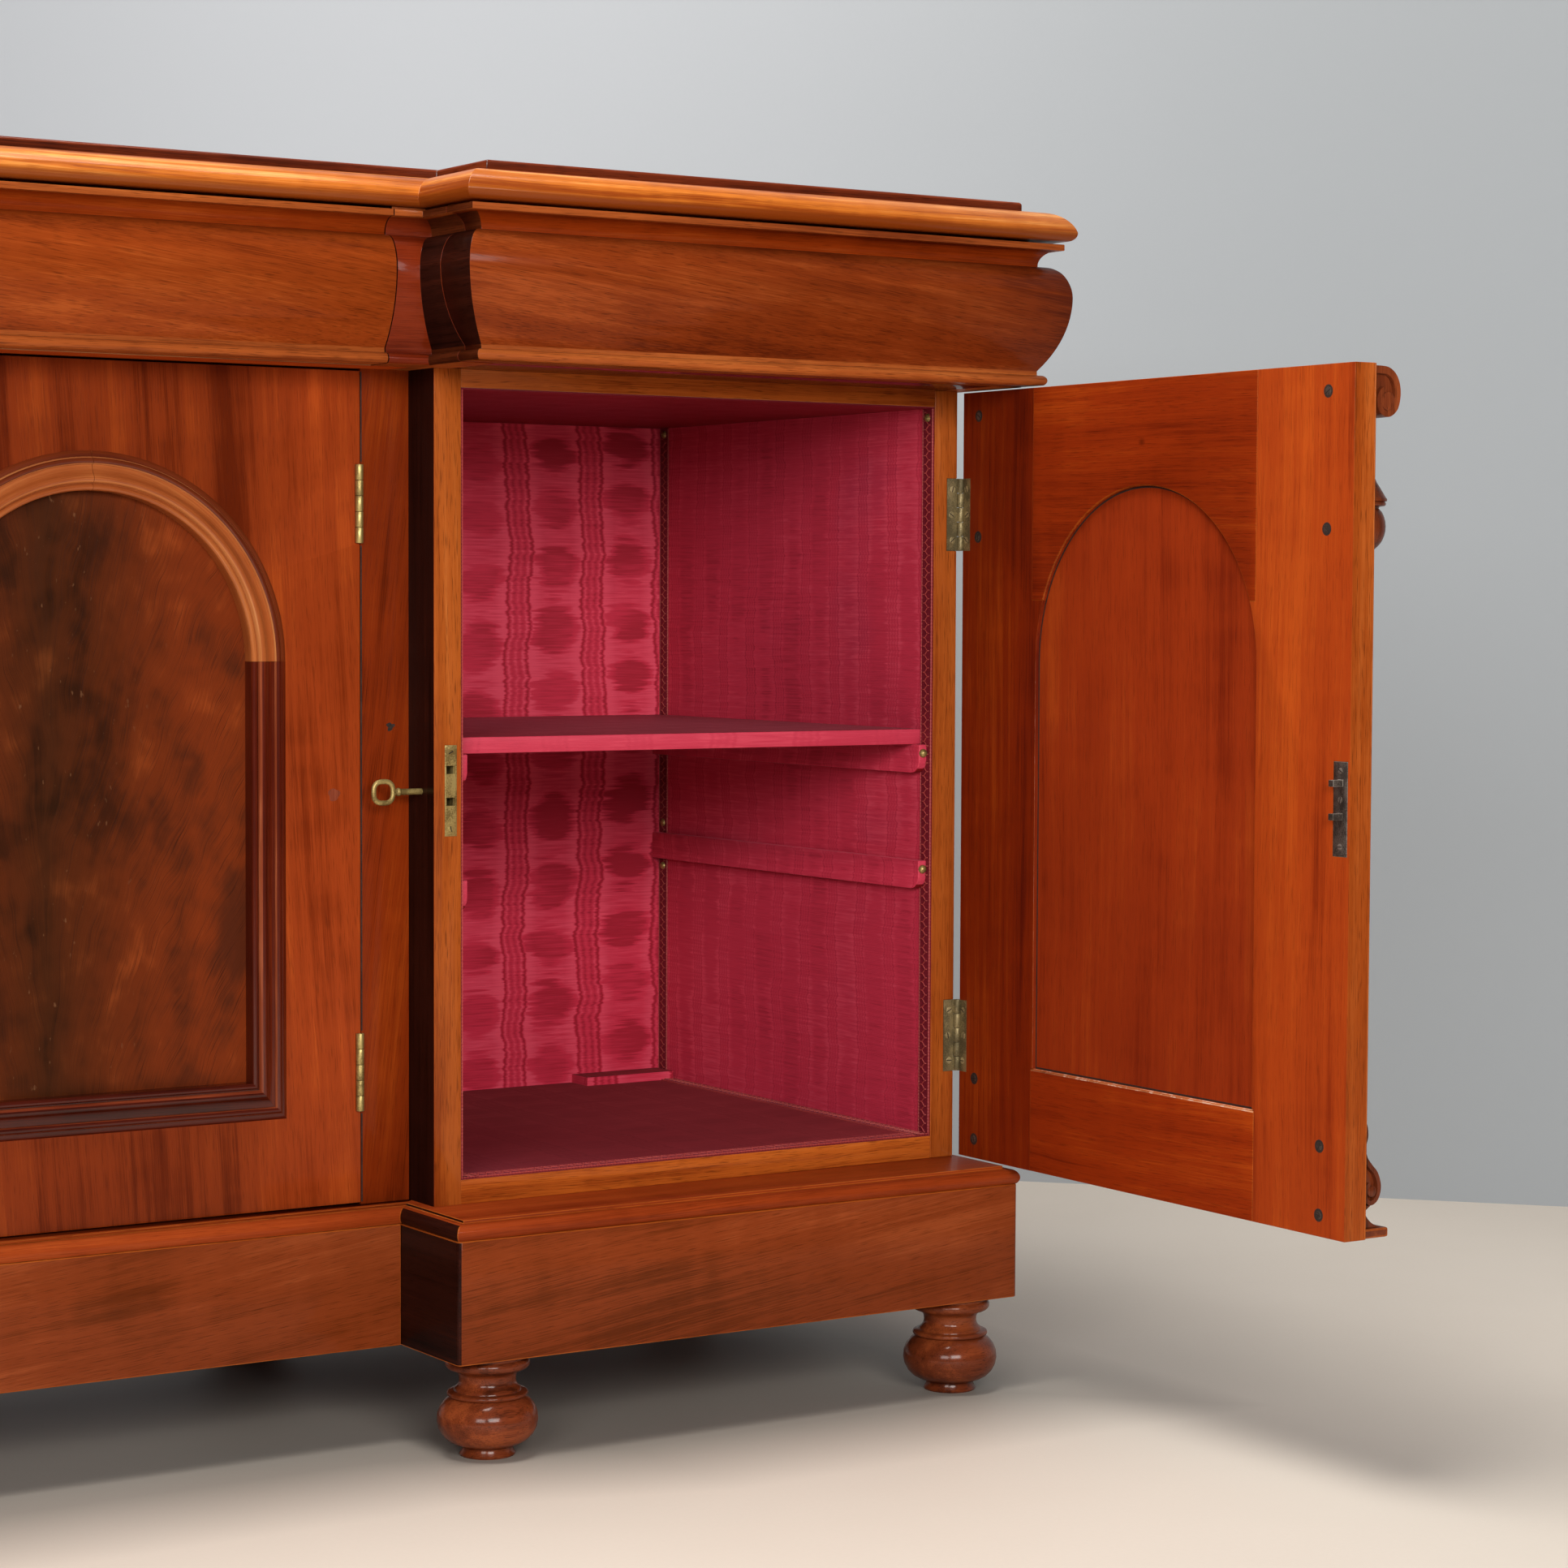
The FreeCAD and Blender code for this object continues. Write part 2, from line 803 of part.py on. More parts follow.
def door_frame(x_low, x_high, centre, face, pin, leaf, notched):
    board = box(x_low, x_high, face, face + door_thickness, door_bottom, door_top)
    inner = face + door_thickness
    board = board.cut(arched(centre, arch_opening_radius, opening_bottom, face, inner))
    rim = [
        edge for edge in board.Edges
        if edge.BoundBox.YMin > inner - opening_bevel
        and edge.BoundBox.XMin > x_low + nearly and edge.BoundBox.XMax < x_high - nearly
    ]
    board = board.makeChamfer(opening_bevel, rim)
    board = fused([board, arch_moulding(centre, face)])
    for height in (hinge_lower, hinge_upper):
        board = board.cut(leaf(height))
        if notched:
            board = board.cut(knuckle_space(pin, height))
    return board


def door_panel(centre, face):
    inner = face + door_thickness - panel_recess
    return arched(centre, arch_opening_radius, opening_bottom, inner - panel_thickness, inner)


# Carved consoles

corbel_section = [
    (0, -scroll_top),
    (scroll_brow_out, -scroll_brow, scroll_out, -scroll_height),
    (scroll_chin_out, -scroll_chin, scroll_bottom_out, -scroll_bottom),
    (0, -scroll_tail),
]
console_section = [
    (0, leaf_top),
    (leaf_out, leaf_height, leaf_foot_out, leaf_foot),
    (volute_brow_out, volute_brow, volute_out, volute_height),
    (volute_foot_out, volute_foot),
    (cavetto_top_out, cavetto_top),
    (cavetto_middle_out, cavetto_middle, cavetto_foot_out, cavetto_foot),
    (0, cavetto_foot),
]
drop_section = [
    (0, -drop_tip),
    (drop_cap_side_radius, -drop_cap_side, drop_cap_radius, -drop_cap),
    (drop_neck_radius, -drop_neck),
    (drop_bulb_radius, -drop_bulb, drop_bulb_foot_radius, -drop_bulb_foot),
    (drop_ball_radius, -drop_ball),
    (drop_ball_radius * octant_share, -drop_ball - drop_ball_radius * octant_share,
     0, -drop_ball - drop_ball_radius),
]


def side_extrusion(section, middle, width):
    start = middle - right_ward * (width / 2)
    profile = section_face(section, lambda out, height: start + front_ward * out + up * height)
    return profile.extrude(right_ward * width)


def console_set(centre, face):
    head, foot_line = vector(centre, face, door_top), vector(centre, face, door_bottom)
    corbel = side_extrusion(corbel_section, head, console_width)
    console = side_extrusion(console_section, foot_line, console_width)
    block = box(centre - slab_width / 2, centre + slab_width / 2, face - slab_out, face,
                door_bottom, door_bottom + cavetto_foot)
    drop = revolved(drop_section, head, half_turn)
    return [corbel, drop, fused([console, block])]


# Linings, shelves and bearers

def wing_lining(with_ledge):
    skin = lining_thickness
    floor = inside_floor
    outside = box(inside_inner, inside_outer, carcass_front + board_air, inside_back, floor,
                  rail_bottom)
    inside = box(inside_inner + skin, inside_outer - skin, carcass_front, inside_back - skin,
                 floor + skin, rail_bottom - skin)
    lining = outside.cut(inside)
    if with_ledge:
        high = inside_outer - skin - ledge_from_side
        ledge = box(high - ledge_width, high, inside_back - skin - ledge_depth,
                    inside_back - skin, floor + skin, floor + skin + ledge_height)
        lining = fused([lining, ledge])
    return lining


def bearer(x_low, bottom):
    back = inside_back - lining_thickness
    bar = box(x_low, x_low + bearer_thickness, bearer_setback, back, bottom,
              bottom + bearer_height)
    edges = [
        edge for edge in bar.Edges
        if edge.BoundBox.YMax < bearer_setback + nearly and edge.BoundBox.ZMax < bottom + nearly
    ]
    return bar.makeFillet(bearer_round, edges)


def wing_bearers():
    inner = inside_inner + lining_thickness
    outer = inside_outer - lining_thickness - bearer_thickness
    upper = wing_shelf_bottom - bearer_height
    return [bearer(x, z) for x in (inner, outer) for z in (upper, lower_bearer_bottom)]


# Lock and key

def lock():
    case = box(case_left, case_right, plate_thickness, case_depth, case_bottom, case_top)
    body = fused([lock_plate(), case])
    room = box(case_left + case_wall, case_right - case_wall, plate_thickness,
               case_depth - case_wall, case_bottom + case_wall, case_top - case_wall)
    body = body.cut(room)
    for middle in (slot_low, slot_high):
        slot = box(lock_middle - slot_width / 2, lock_middle + slot_width / 2, carcass_front,
                   plate_thickness, middle - slot_height / 2, middle + slot_height / 2)
        body = body.cut(slot)
    axis = vector(case_left, key_setback, key_height)
    hole = Part.makeCylinder(key_hole_radius, case_wall, axis, right_ward)
    slit = box(case_left, case_left + case_wall, key_setback - keyhole_slit / 2,
               key_setback + keyhole_slit / 2, key_height - keyhole_drop, key_height)
    return body.cut(hole).cut(slit)


def bolt():
    low, high = lock_middle - bolt_thickness / 2, lock_middle + bolt_thickness / 2
    plate = box(low, high, bolt_front, bolt_back, bolt_bottom,
                bolt_bottom + bolt_height)
    notch = box(low, high, bolt_front, bolt_back, key_height - bolt_notch_low,
                key_height - bolt_notch_high)
    pieces = [plate.cut(notch)]
    spine = box(low, high, bolt_front - prong_arm, bolt_front, bolt_bottom,
                bolt_bottom + bolt_height)
    pieces.append(spine)
    for middle in (slot_low, slot_high):
        tip = middle - slot_height / 2 - prong_clear
        root = tip - prong_drop + prong_arm
        pieces.append(box(low, high, prong_front, prong_back, root, tip))
        pieces.append(box(low, high, prong_front, bolt_front, root - prong_arm, root))
    return fused(pieces)


def key():
    start = key_bow_middle + key_bow_radius
    shank = Part.makeCylinder(key_radius, key_end - start, vector(start, key_setback, key_height),
                              right_ward)
    collar = Part.makeCylinder(key_collar_radius, key_collar_length,
                               vector(start + key_wire, key_setback, key_height), right_ward)
    bow = Part.makeTorus(key_bow_radius, key_wire,
                         vector(key_bow_middle, key_setback, key_height), back_ward)
    low = lock_middle - key_bit_width / 2
    bit = box(low, low + key_bit_width, key_setback - key_bit_height / 2,
              key_setback + key_bit_height / 2, key_height - key_bit_length, key_height)
    return fused([shank, collar, bow, bit])


def link_plate():
    back = wing_door_inner_face
    plate = box(link_plate_left, link_plate_left + link_plate_width, back - link_plate_thickness,
                back, link_plate_bottom, link_plate_bottom + link_plate_height)
    for middle in (slot_low, slot_high):
        low, high = lock_middle - link_width / 2, lock_middle + link_width / 2
        link = box(low, high, back, back + link_length, middle - link_height / 2,
                   middle + link_height / 2)
        hole = box(lock_middle - link_hole_width / 2, lock_middle + link_hole_width / 2,
                   back + link_hole_start, back + link_hole_start + link_hole_length,
                   middle - link_height, middle + link_height)
        plate = plate.fuse(link.cut(hole))
    return plate.removeSplitter()


def link_plate_recess():
    return box(link_plate_left, link_plate_left + link_plate_width,
               wing_door_inner_face - link_plate_thickness, wing_door_inner_face,
               link_plate_bottom, link_plate_bottom + link_plate_height)


def both_sides(name, shape):
    nodes[name + "_right"] = shape
    nodes[name + "_left"] = mirrored(shape)


def pair(shape):
    return Part.makeCompound([mirrored(shape), shape])


def build_base():
    both_sides("plinth", plinth_frame())
    nodes["plinth_centre"] = box(-plinth_inner, plinth_inner, plinth_centre_front,
                                 plinth_centre_front + plinth_board, foot_height, plinth_top)
    nodes["plinth_moulding"] = plinth_moulding()
    front = plinth_front + foot_inset_front
    back = depth - foot_inset_back
    inner, outer = plinth_inner + foot_inset_side, plinth_outer - foot_inset_side
    both_sides("foot_front_outer", foot(outer, front))
    both_sides("foot_front_inner", foot(inner, front))
    nodes["feet_back"] = Part.makeCompound([foot(x, back) for x in (-outer, -inner, inner, outer)])


def build_carcass():
    outer_side = box(inside_outer, wing_outer, carcass_front, depth, carcass_bottom,
                     soffit_height)
    inner_side = side_inner()
    for plate in (wing_leaf(height, 0) for height in (hinge_lower, hinge_upper)):
        outer_side = outer_side.cut(plate)
    both_sides("side_outer", outer_side)
    both_sides("side_inner", inner_side)
    both_sides("bottom", box(inside_inner, inside_outer, carcass_front, inside_back,
                             carcass_bottom, inside_floor))
    both_sides("ceiling", wing_ceiling())
    both_sides("back", wing_back())
    front = centre_front + door_thickness + board_air
    stile_back = centre_front + stile_thickness
    nodes["bottom_centre"] = box(-wing_inner, wing_inner, front, inside_back, carcass_bottom,
                                 inside_floor)
    nodes["ceiling_centre"] = centre_ceiling()
    nodes["back_centre"] = centre_back()
    nodes["stiles_centre"] = pair(centre_stile())
    nodes["shelf_centre"] = box(-wing_inner, wing_inner, stile_back + centre_shelf_setback,
                                inside_back, centre_shelf_bottom,
                                centre_shelf_bottom + centre_shelf_thickness)
    nodes["lining_right"] = wing_lining(True)
    nodes["lining_left"] = mirrored(wing_lining(False))
    bearers = wing_bearers()
    nodes["bearers"] = Part.makeCompound([mirrored(bar) for bar in bearers] + bearers)
    gap = lining_thickness + shelf_gap
    nodes["shelves_wing"] = pair(box(
        inside_inner + gap, inside_outer - gap, wing_shelf_setback,
        inside_back - lining_thickness, wing_shelf_bottom,
        wing_shelf_bottom + wing_shelf_thickness))
    nodes["locks"] = pair(lock())
    fixed = hinge_leaves(wing_pin, wing_leaf, 0, 0) + hinge_leaves(centre_pin, centre_leaf, 1, 0)
    nodes["hinge_leaves_fixed"] = Part.makeCompound([mirrored(leaf) for leaf in fixed] + fixed)


def build_frieze_and_top():
    both_sides("frieze_corner", frieze_corner())
    both_sides("frieze_side", frieze_side())
    both_sides("drawer_front", wing_drawer_front())
    both_sides("drawer_box", drawer_box(drawer_wall_inner + drawer_gap,
                                        drawer_wall_outer - drawer_gap, drawer_front_back))
    nodes["drawer_front_centre"] = centre_drawer_front()
    half = centre_drawer_half - centre_drawer_guide
    nodes["drawer_box_centre"] = drawer_box(-half, half, centre_drawer_back)
    nodes["top"] = moulded_top()
    nodes["top_platform"] = top_platform()


def build_wing_doors():
    right = {}
    face = wing_door_face
    frame = door_frame(wing_door_left, wing_outer, wing_arch_centre, face, wing_pin,
                       lambda height: wing_leaf(height, 1), False)
    right["door_frame_wing"] = frame.cut(link_plate_recess())
    right["door_panel_wing"] = door_panel(wing_arch_centre, face)
    sets = console_set(wing_door_left + console_inset, face)
    sets += console_set(wing_outer - console_inset, face)
    right["consoles"] = Part.makeCompound(sets)
    right["link_plate"] = link_plate()
    right["hinge_leaves_wing"] = Part.makeCompound(hinge_leaves(wing_pin, wing_leaf, 1, 1))
    for name, shape in right.items():
        nodes[name + "_left"] = mirrored(shape)
        nodes[name + "_right"] = shape.rotate(wing_pin, up, open_angle)


def build_centre_doors():
    frame = door_frame(centre_door_left, centre_door_right, centre_arch_centre, centre_front,
                       centre_pin, lambda height: centre_leaf(height, 0), True)
    both_sides("door_frame_centre", frame)
    both_sides("door_panel_centre", door_panel(centre_arch_centre, centre_front))
    both_sides("hinge_leaves_centre",
               Part.makeCompound(hinge_leaves(centre_pin, centre_leaf, 0, 1)))


build_base()
build_carcass()
build_frieze_and_top()
build_wing_doors()
build_centre_doors()
nodes["bolt"] = bolt()
nodes["key"] = key()

# The origin goes under the middle of the whole piece as it stands, with the
# right-hand wing door open.
whole = Part.makeCompound(list(nodes.values())).optimalBoundingBox(False, False)
shift = vector(-whole.Center.x, -whole.Center.y, -whole.ZMin)

os.makedirs("parts", exist_ok=True)
for name, shape in nodes.items():
    moved = shape.copy()
    moved.translate(shift)
    moved.exportStep("parts/" + name + ".step")

for label, place in (("wing pin", wing_pin), ("centre pin", centre_pin),
                     ("key axis", vector(key_bow_middle, key_setback, key_height))):
    print(label, place + shift)
print("shift", shift, "size", whole.XLength, whole.YLength, whole.ZLength)
print("nodes", len(nodes))
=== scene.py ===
import json
import math
import bpy
import bmesh
import numpy as np
from mathutils import Matrix, Vector


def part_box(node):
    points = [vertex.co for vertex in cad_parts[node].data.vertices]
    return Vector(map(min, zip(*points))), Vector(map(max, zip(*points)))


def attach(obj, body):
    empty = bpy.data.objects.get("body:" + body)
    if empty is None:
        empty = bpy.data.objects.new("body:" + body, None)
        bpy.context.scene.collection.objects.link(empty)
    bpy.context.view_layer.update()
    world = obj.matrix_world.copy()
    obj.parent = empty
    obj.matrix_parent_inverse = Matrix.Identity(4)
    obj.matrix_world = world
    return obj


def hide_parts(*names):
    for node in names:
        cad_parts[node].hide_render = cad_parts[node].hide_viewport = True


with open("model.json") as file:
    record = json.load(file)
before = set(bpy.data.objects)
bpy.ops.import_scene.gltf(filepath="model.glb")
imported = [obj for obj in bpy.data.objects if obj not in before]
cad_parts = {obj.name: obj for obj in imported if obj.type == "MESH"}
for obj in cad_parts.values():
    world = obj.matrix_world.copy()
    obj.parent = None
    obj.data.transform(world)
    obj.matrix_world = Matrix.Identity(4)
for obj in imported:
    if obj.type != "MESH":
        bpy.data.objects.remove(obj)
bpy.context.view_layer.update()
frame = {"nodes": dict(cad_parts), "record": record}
record = frame["record"]
bodyOfNode = {node: body for body, nodes in record["behaviour"]["bodies"].items() for node in nodes}
slotOfNode = {row["node"]: row["material_slot"] for row in record["subparts"]}
print("stage: frame loaded")

# Places are written in millimetres, x from the middle of the centre cupboard,
# y from the front of the wing carcasses and z from the floor.
millimetre = 0.001
centreLine = (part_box("top")[0].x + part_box("top")[1].x) / 2
zero = np.array([centreLine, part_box("bottom_right")[0].y, 0.0])
wingHinge = {"x": 1009.5, "y": -0.4, "open": 89.4}  # pin of the wing door and the angle it stands open


def place(points):
    return np.asarray(points, float) * millimetre + zero


shading = {}  # the node tree that is being filled, and a material's output node


# A value on its way through a node tree. With + - * / and abs() it goes through Math nodes.
class Wire:
    def __init__(self, socket):
        self.socket = socket

    def __add__(self, other):
        return calc("ADD", self, other)

    def __sub__(self, other):
        return calc("SUBTRACT", self, other)

    def __rsub__(self, other):
        return calc("SUBTRACT", other, self)

    def __mul__(self, other):
        return calc("MULTIPLY", self, other)

    def __truediv__(self, other):
        return calc("DIVIDE", self, other)

    def __abs__(self):
        return calc("ABSOLUTE", self)

    __radd__, __rmul__ = __add__, __mul__


def join(node, inputs):
    for key, value in inputs.items():
        if isinstance(value, Wire):
            shading["tree"].links.new(value.socket, node.inputs[key])
        else:
            node.inputs[key].default_value = value


def addNode(kind, inputs=(), **settings):
    made = shading["tree"].nodes.new("ShaderNode" + kind)
    for key, value in settings.items():
        setattr(made, key, value)
    join(made, dict(inputs))
    return made


def wire(kind, inputs=(), output=0, **settings):
    return Wire(addNode(kind, inputs, **settings).outputs[output])


def calc(operation, *values):
    return wire("Math", enumerate(values), operation=operation)


def cosine(turns):
    return calc("COSINE", turns * (2 * math.pi))


def partsOf(vector):
    return [Wire(out) for out in addNode("SeparateXYZ", {0: vector}).outputs]


def ramp(value, stops):
    made = addNode("ValToRGB", {"Fac": value})
    band = made.color_ramp
    band.interpolation = "EASE"
    while len(band.elements) < len(stops):
        band.elements.new(0.5)
    for element, (position, colour) in zip(band.elements, stops):
        element.position = position
        element.color = (*colour, 1.0)
    return Wire(made.outputs[0])


def level(value, low, high, toLow=0.0, toHigh=1.0):
    return wire("MapRange", {"Value": value, "From Min": low, "From Max": high, "To Min": toLow,
                             "To Max": toHigh},
                clamp=True)


def scaled(vector, scale, turn=(0, 0, 0)):
    return wire("Mapping", {"Vector": vector, "Scale": scale, "Rotation": turn})


def noise(vector, scale, detail=2.0, roughness=0.5):
    return wire("TexNoise", {"Vector": scaled(vector, scale), "Scale": 1.0, "Detail": detail,
                             "Roughness": roughness})


def blend(share, first, second, kind="MIX"):
    first, second = (value if isinstance(value, Wire) else (*value, 1.0) for value in (first, second))
    return wire("Mix", {0: share, 6: first, 7: second}, 2, data_type="RGBA", blend_type=kind)


def dimmed(colour, gain):
    return blend(1.0, colour, wire("CombineColor", {0: gain, 1: gain, 2: gain}), "MULTIPLY")


def newMaterial(name):
    material = bpy.data.materials.new(name)
    material.use_nodes = True
    shading["tree"] = material.node_tree
    material.node_tree.nodes.clear()
    shader = addNode("BsdfPrincipled")
    shading["out"] = addNode("OutputMaterial", {"Surface": Wire(shader.outputs[0])})
    return material, shader


# Joins a fine relief and the other inputs to a shader.
def surfaced(shader, height, strength, depth, inputs):
    bump = wire("Bump", {"Height": height, "Strength": strength, "Distance": depth})
    join(shader, {**inputs, "Normal": bump})


# The grain attribute holds each corner's place in metres as (across, through, along the grain).
def grainOf(turn=(0, 0, 0)):
    grain = wire("Attribute", (), "Vector", attribute_name="grain")
    grain = scaled(grain, (1, 1, 1), tuple(math.radians(a) for a in turn))
    return grain, partsOf(grain)


# What every wood starts with. "stripes" to "cloud" are the part a layer has in the colour. The last two keys
# are painted shade, darker where a face turns under, and painted light, a gain as (from x, to x, the gain at
# the first, the gain at the second).
woodLook = {
    "turn": (0, 0, 0), "bend": 0.03, "bendAlong": 1.6, "bands": 17, "bandStretch": 0.07, "bandShare": 0.5,
    "stripes": 0.3, "fibres": 0.2, "ripple": 0.08, "cloud": 0.25, "contrast": 0.13, "pores": 0.55,
    "stain": 0.35,
    "rough": 0.36, "specular": 0.03, "coat": 0.12, "coatRough": 0.12, "bump": 0.2, "relief": 0.0003,
    "spots": 0.0, "chalk": 0.0, "chalkColour": (0.62, 0.40, 0.30), "under": 0.0, "glow": (),
}
# Layers of noise as (waves per metre across, through and along), detail and roughness
woodNoise = {
    "stripes": ((150, 150, 3.2), 3), "fibres": ((1300, 1300, 14),), "ripple": ((11, 11, 34),),
    "pores": ((1500, 1500, 60), 1), "cloud": ((10, 10, 3.5), 3, 0.55), "patches": ((6, 6, 3.5), 3, 0.6),
    "chalk": ((170, 170, 120), 3, 0.65), "spots": (13, 13, 9),
}


# Polished mahogany: colour = ramp(bands + stripes + fibres + ripple + cloud), with dark pores on it.
# Bands, stripes and fibres are noise drawn out along the grain, and ripple is drawn out across it.
def mahogany(name, **look):
    look = {**woodLook, **look}
    material, shader = newMaterial(name)
    grain, parts = grainOf(look["turn"])
    bend = (noise(grain, (4, 4, look["bendAlong"])) - 0.5) * look["bend"]
    bent = wire("CombineXYZ", {0: parts[0] + bend, 1: parts[1], 2: parts[2]})
    wide = look["bands"]
    figure = noise(bent, (wide, wide, wide * look["bandStretch"]), 4, 0.55) * look["bandShare"]
    layers = {key: noise(bent, *woodNoise[key]) for key in ("stripes", "fibres", "ripple", "pores")}
    layers["cloud"] = noise(grain, *woodNoise["cloud"])
    for key in ("stripes", "fibres", "ripple", "cloud"):
        figure = figure + (layers[key] - 0.5) * look[key]
    middle, spread = look["bandShare"] / 2, look["contrast"]
    colour = ramp(figure, ((middle - spread, look["dark"]), (middle, look["mid"]),
                           (middle + spread, look["light"])))
    fibres, pores = layers["fibres"], level(layers["pores"], 0.58, 0.70)
    deep = tuple(c * 0.25 for c in look["dark"])
    colour = blend(pores * look["pores"], colour, deep)
    patches = noise(grain, *woodNoise["patches"])
    colour = blend(level(patches, 0.42, 0.72, 0.0, look["stain"]), colour, look["dark"])
    # Painted shade: darker where a face turns under, away from the light.
    if look["under"]:  # darker where a moulding turns under
        rising = partsOf(wire("TexCoord", (), "Normal"))[2]
        colour = blend(level(rising, -0.3, 0.5, look["under"], 0.0), colour, look["dark"])
    # Painted light: paler towards the outer side.
    if look["glow"]:  # paler towards the outer side
        off = partsOf(wire("TexCoord", (), "Object"))[0]
        colour = dimmed(colour, level(abs(off), *look["glow"]))
    if look["spots"]:  # small knots and old pin holes
        cells = addNode("TexVoronoi", {"Vector": scaled(grain, woodNoise["spots"]), "Scale": 1.0}).outputs
        rare = wire("SeparateColor", {0: Wire(cells["Color"])})
        spot = level(Wire(cells["Distance"]), 0.02, 0.055, 1.0, 0.0) * level(rare, 0.55, 0.6)
        colour = blend(spot * look["spots"], colour, deep)
    if look["chalk"]:  # bare or whitened places where the polish has rubbed through
        chalk = level(noise(grain, *woodNoise["chalk"]), 0.5, 0.6, 0.0, look["chalk"])
        colour = blend(chalk, colour, look["chalkColour"])
    surfaced(shader, fibres * 0.35 - pores + patches * 3.0, look["bump"], look["relief"], {
        "Base Color": colour, "Roughness": fibres * 0.12 + patches * 0.2 + (look["rough"] - 0.15),
        "Specular IOR Level": look["specular"], "Coat Weight": look["coat"],
        "Coat Roughness": look["coatRough"]})
    return material


crotchLook = {
    "spine": -0.035, "reach": (0.03, 0.15), "flare": 1.5, "warp": 0.05, "feathers": 0.32, "fine": 0.18,
    "clouds": 0.8, "mottle": 0.3, "heartShare": 0.85, "poreShare": 0.5, "markShare": 0.45, "bump": 0.2,
    "relief": 0.0003,
    "plumes": ((0.06, (0.07875, 0.01575, 0.00525)), (0.27, (0.16625, 0.02625, 0.00525)),
               (0.46, (0.315, 0.05775, 0.0105))),
    "heart": ((0.06, (0.012, 0.005, 0.0015)), (0.27, (0.034, 0.011, 0.003)), (0.48, (0.09, 0.027, 0.007))),
    "pore": (0.012, 0.004, 0.002), "mark": (0.22, 0.10, 0.045), "specular": 0.04, "coat": 0.03,
    "coatRough": 0.25,
}
crotchNoise = {
    "warp": ((9, 9, 5), 3, 0.6), "feathers": ((13, 13, 5), 3), "fine": ((300, 300, 60), 3),
    "pores": ((900, 900, 60), 1), "clouds": ((9, 9, 6), 4, 0.62), "mottle": ((38, 38, 24), 3, 0.6),
    "marks": ((260, 260, 110),),
}


# Flame veneer: plumes rise from a dark spine. A plume is a line of equal height
# z - flare * sqrt(|x - spine|), and each has its own shade.
def crotch(name):
    look = crotchLook
    material, shader = newMaterial(name)
    grain = wire("Attribute", (), "Vector", attribute_name="figure")
    parts = partsOf(grain)
    warp, clouds, mottle, marks = (noise(grain, *crotchNoise[key]) for key in ("warp", "clouds", "mottle",
                                                                               "marks"))
    side = abs(parts[0] + (warp - 0.5) * look["warp"] - look["spine"])
    plume = parts[2] - calc("SQRT", side) * look["flare"]
    flow = wire("CombineXYZ", {0: plume, 1: parts[1], 2: side})
    feathers, fine, pores = (noise(flow, *crotchNoise[key]) for key in ("feathers", "fine", "pores"))
    core = level(side + clouds * 0.06, *look["reach"], 1.0, 0.0)
    shade = feathers * look["feathers"] + fine * look["fine"]
    shade = shade + (clouds - 0.5) * look["clouds"] + (mottle - 0.5) * look["mottle"]
    colour = blend(core * look["heartShare"], ramp(shade, look["plumes"]), ramp(shade, look["heart"]))
    pores = level(pores, 0.6, 0.72)
    colour = blend(pores * look["poreShare"], colour, look["pore"])
    colour = blend(level(marks, 0.70, 0.76) * core * look["markShare"], colour, look["mark"])
    surfaced(shader, clouds * 4.0 + (fine - pores), look["bump"], look["relief"], {
        "Base Color": colour, "Roughness": level(clouds, 0.3, 0.7, 0.34, 0.5),
        "Specular IOR Level": look["specular"], "Coat Weight": look["coat"],
        "Coat Roughness": look["coatRough"]})
    return material


silkLook = {"dark": (0.46, 0.018, 0.042), "mid": (0.71, 0.038, 0.085), "light": (0.92, 0.10, 0.17),
            "column": 0.082, "drop": 0.058, "lines": 11, "strength": 1.15, "weft": 5600, "specular": 0.3,
            "sheen": 0.12, "sheenTint": (0.9, 0.25, 0.35, 1.0), "bump": 0.25, "relief": 0.0002,
            "jagShift": 0.005, "driftShift": 0.022, "wobbleShift": 0.010, "ovalJag": 2.4, "lineJag": 1.2,
            "ovalDepth": 1.75, "lineDepth": 0.9, "waveShare": 0.2, "slubShare": 0.45, "broadShare": 0.4}
silkNoise = {
    "fine": ((22, 22, 430), 1), "coarse": ((14, 14, 150),), "drift": ((4, 4, 9),), "wobble": ((3, 3, 48),),
    "fade": ((7, 7, 12), 1), "slub": ((25, 25, 600),), "broad": ((3, 3, 2),),
}


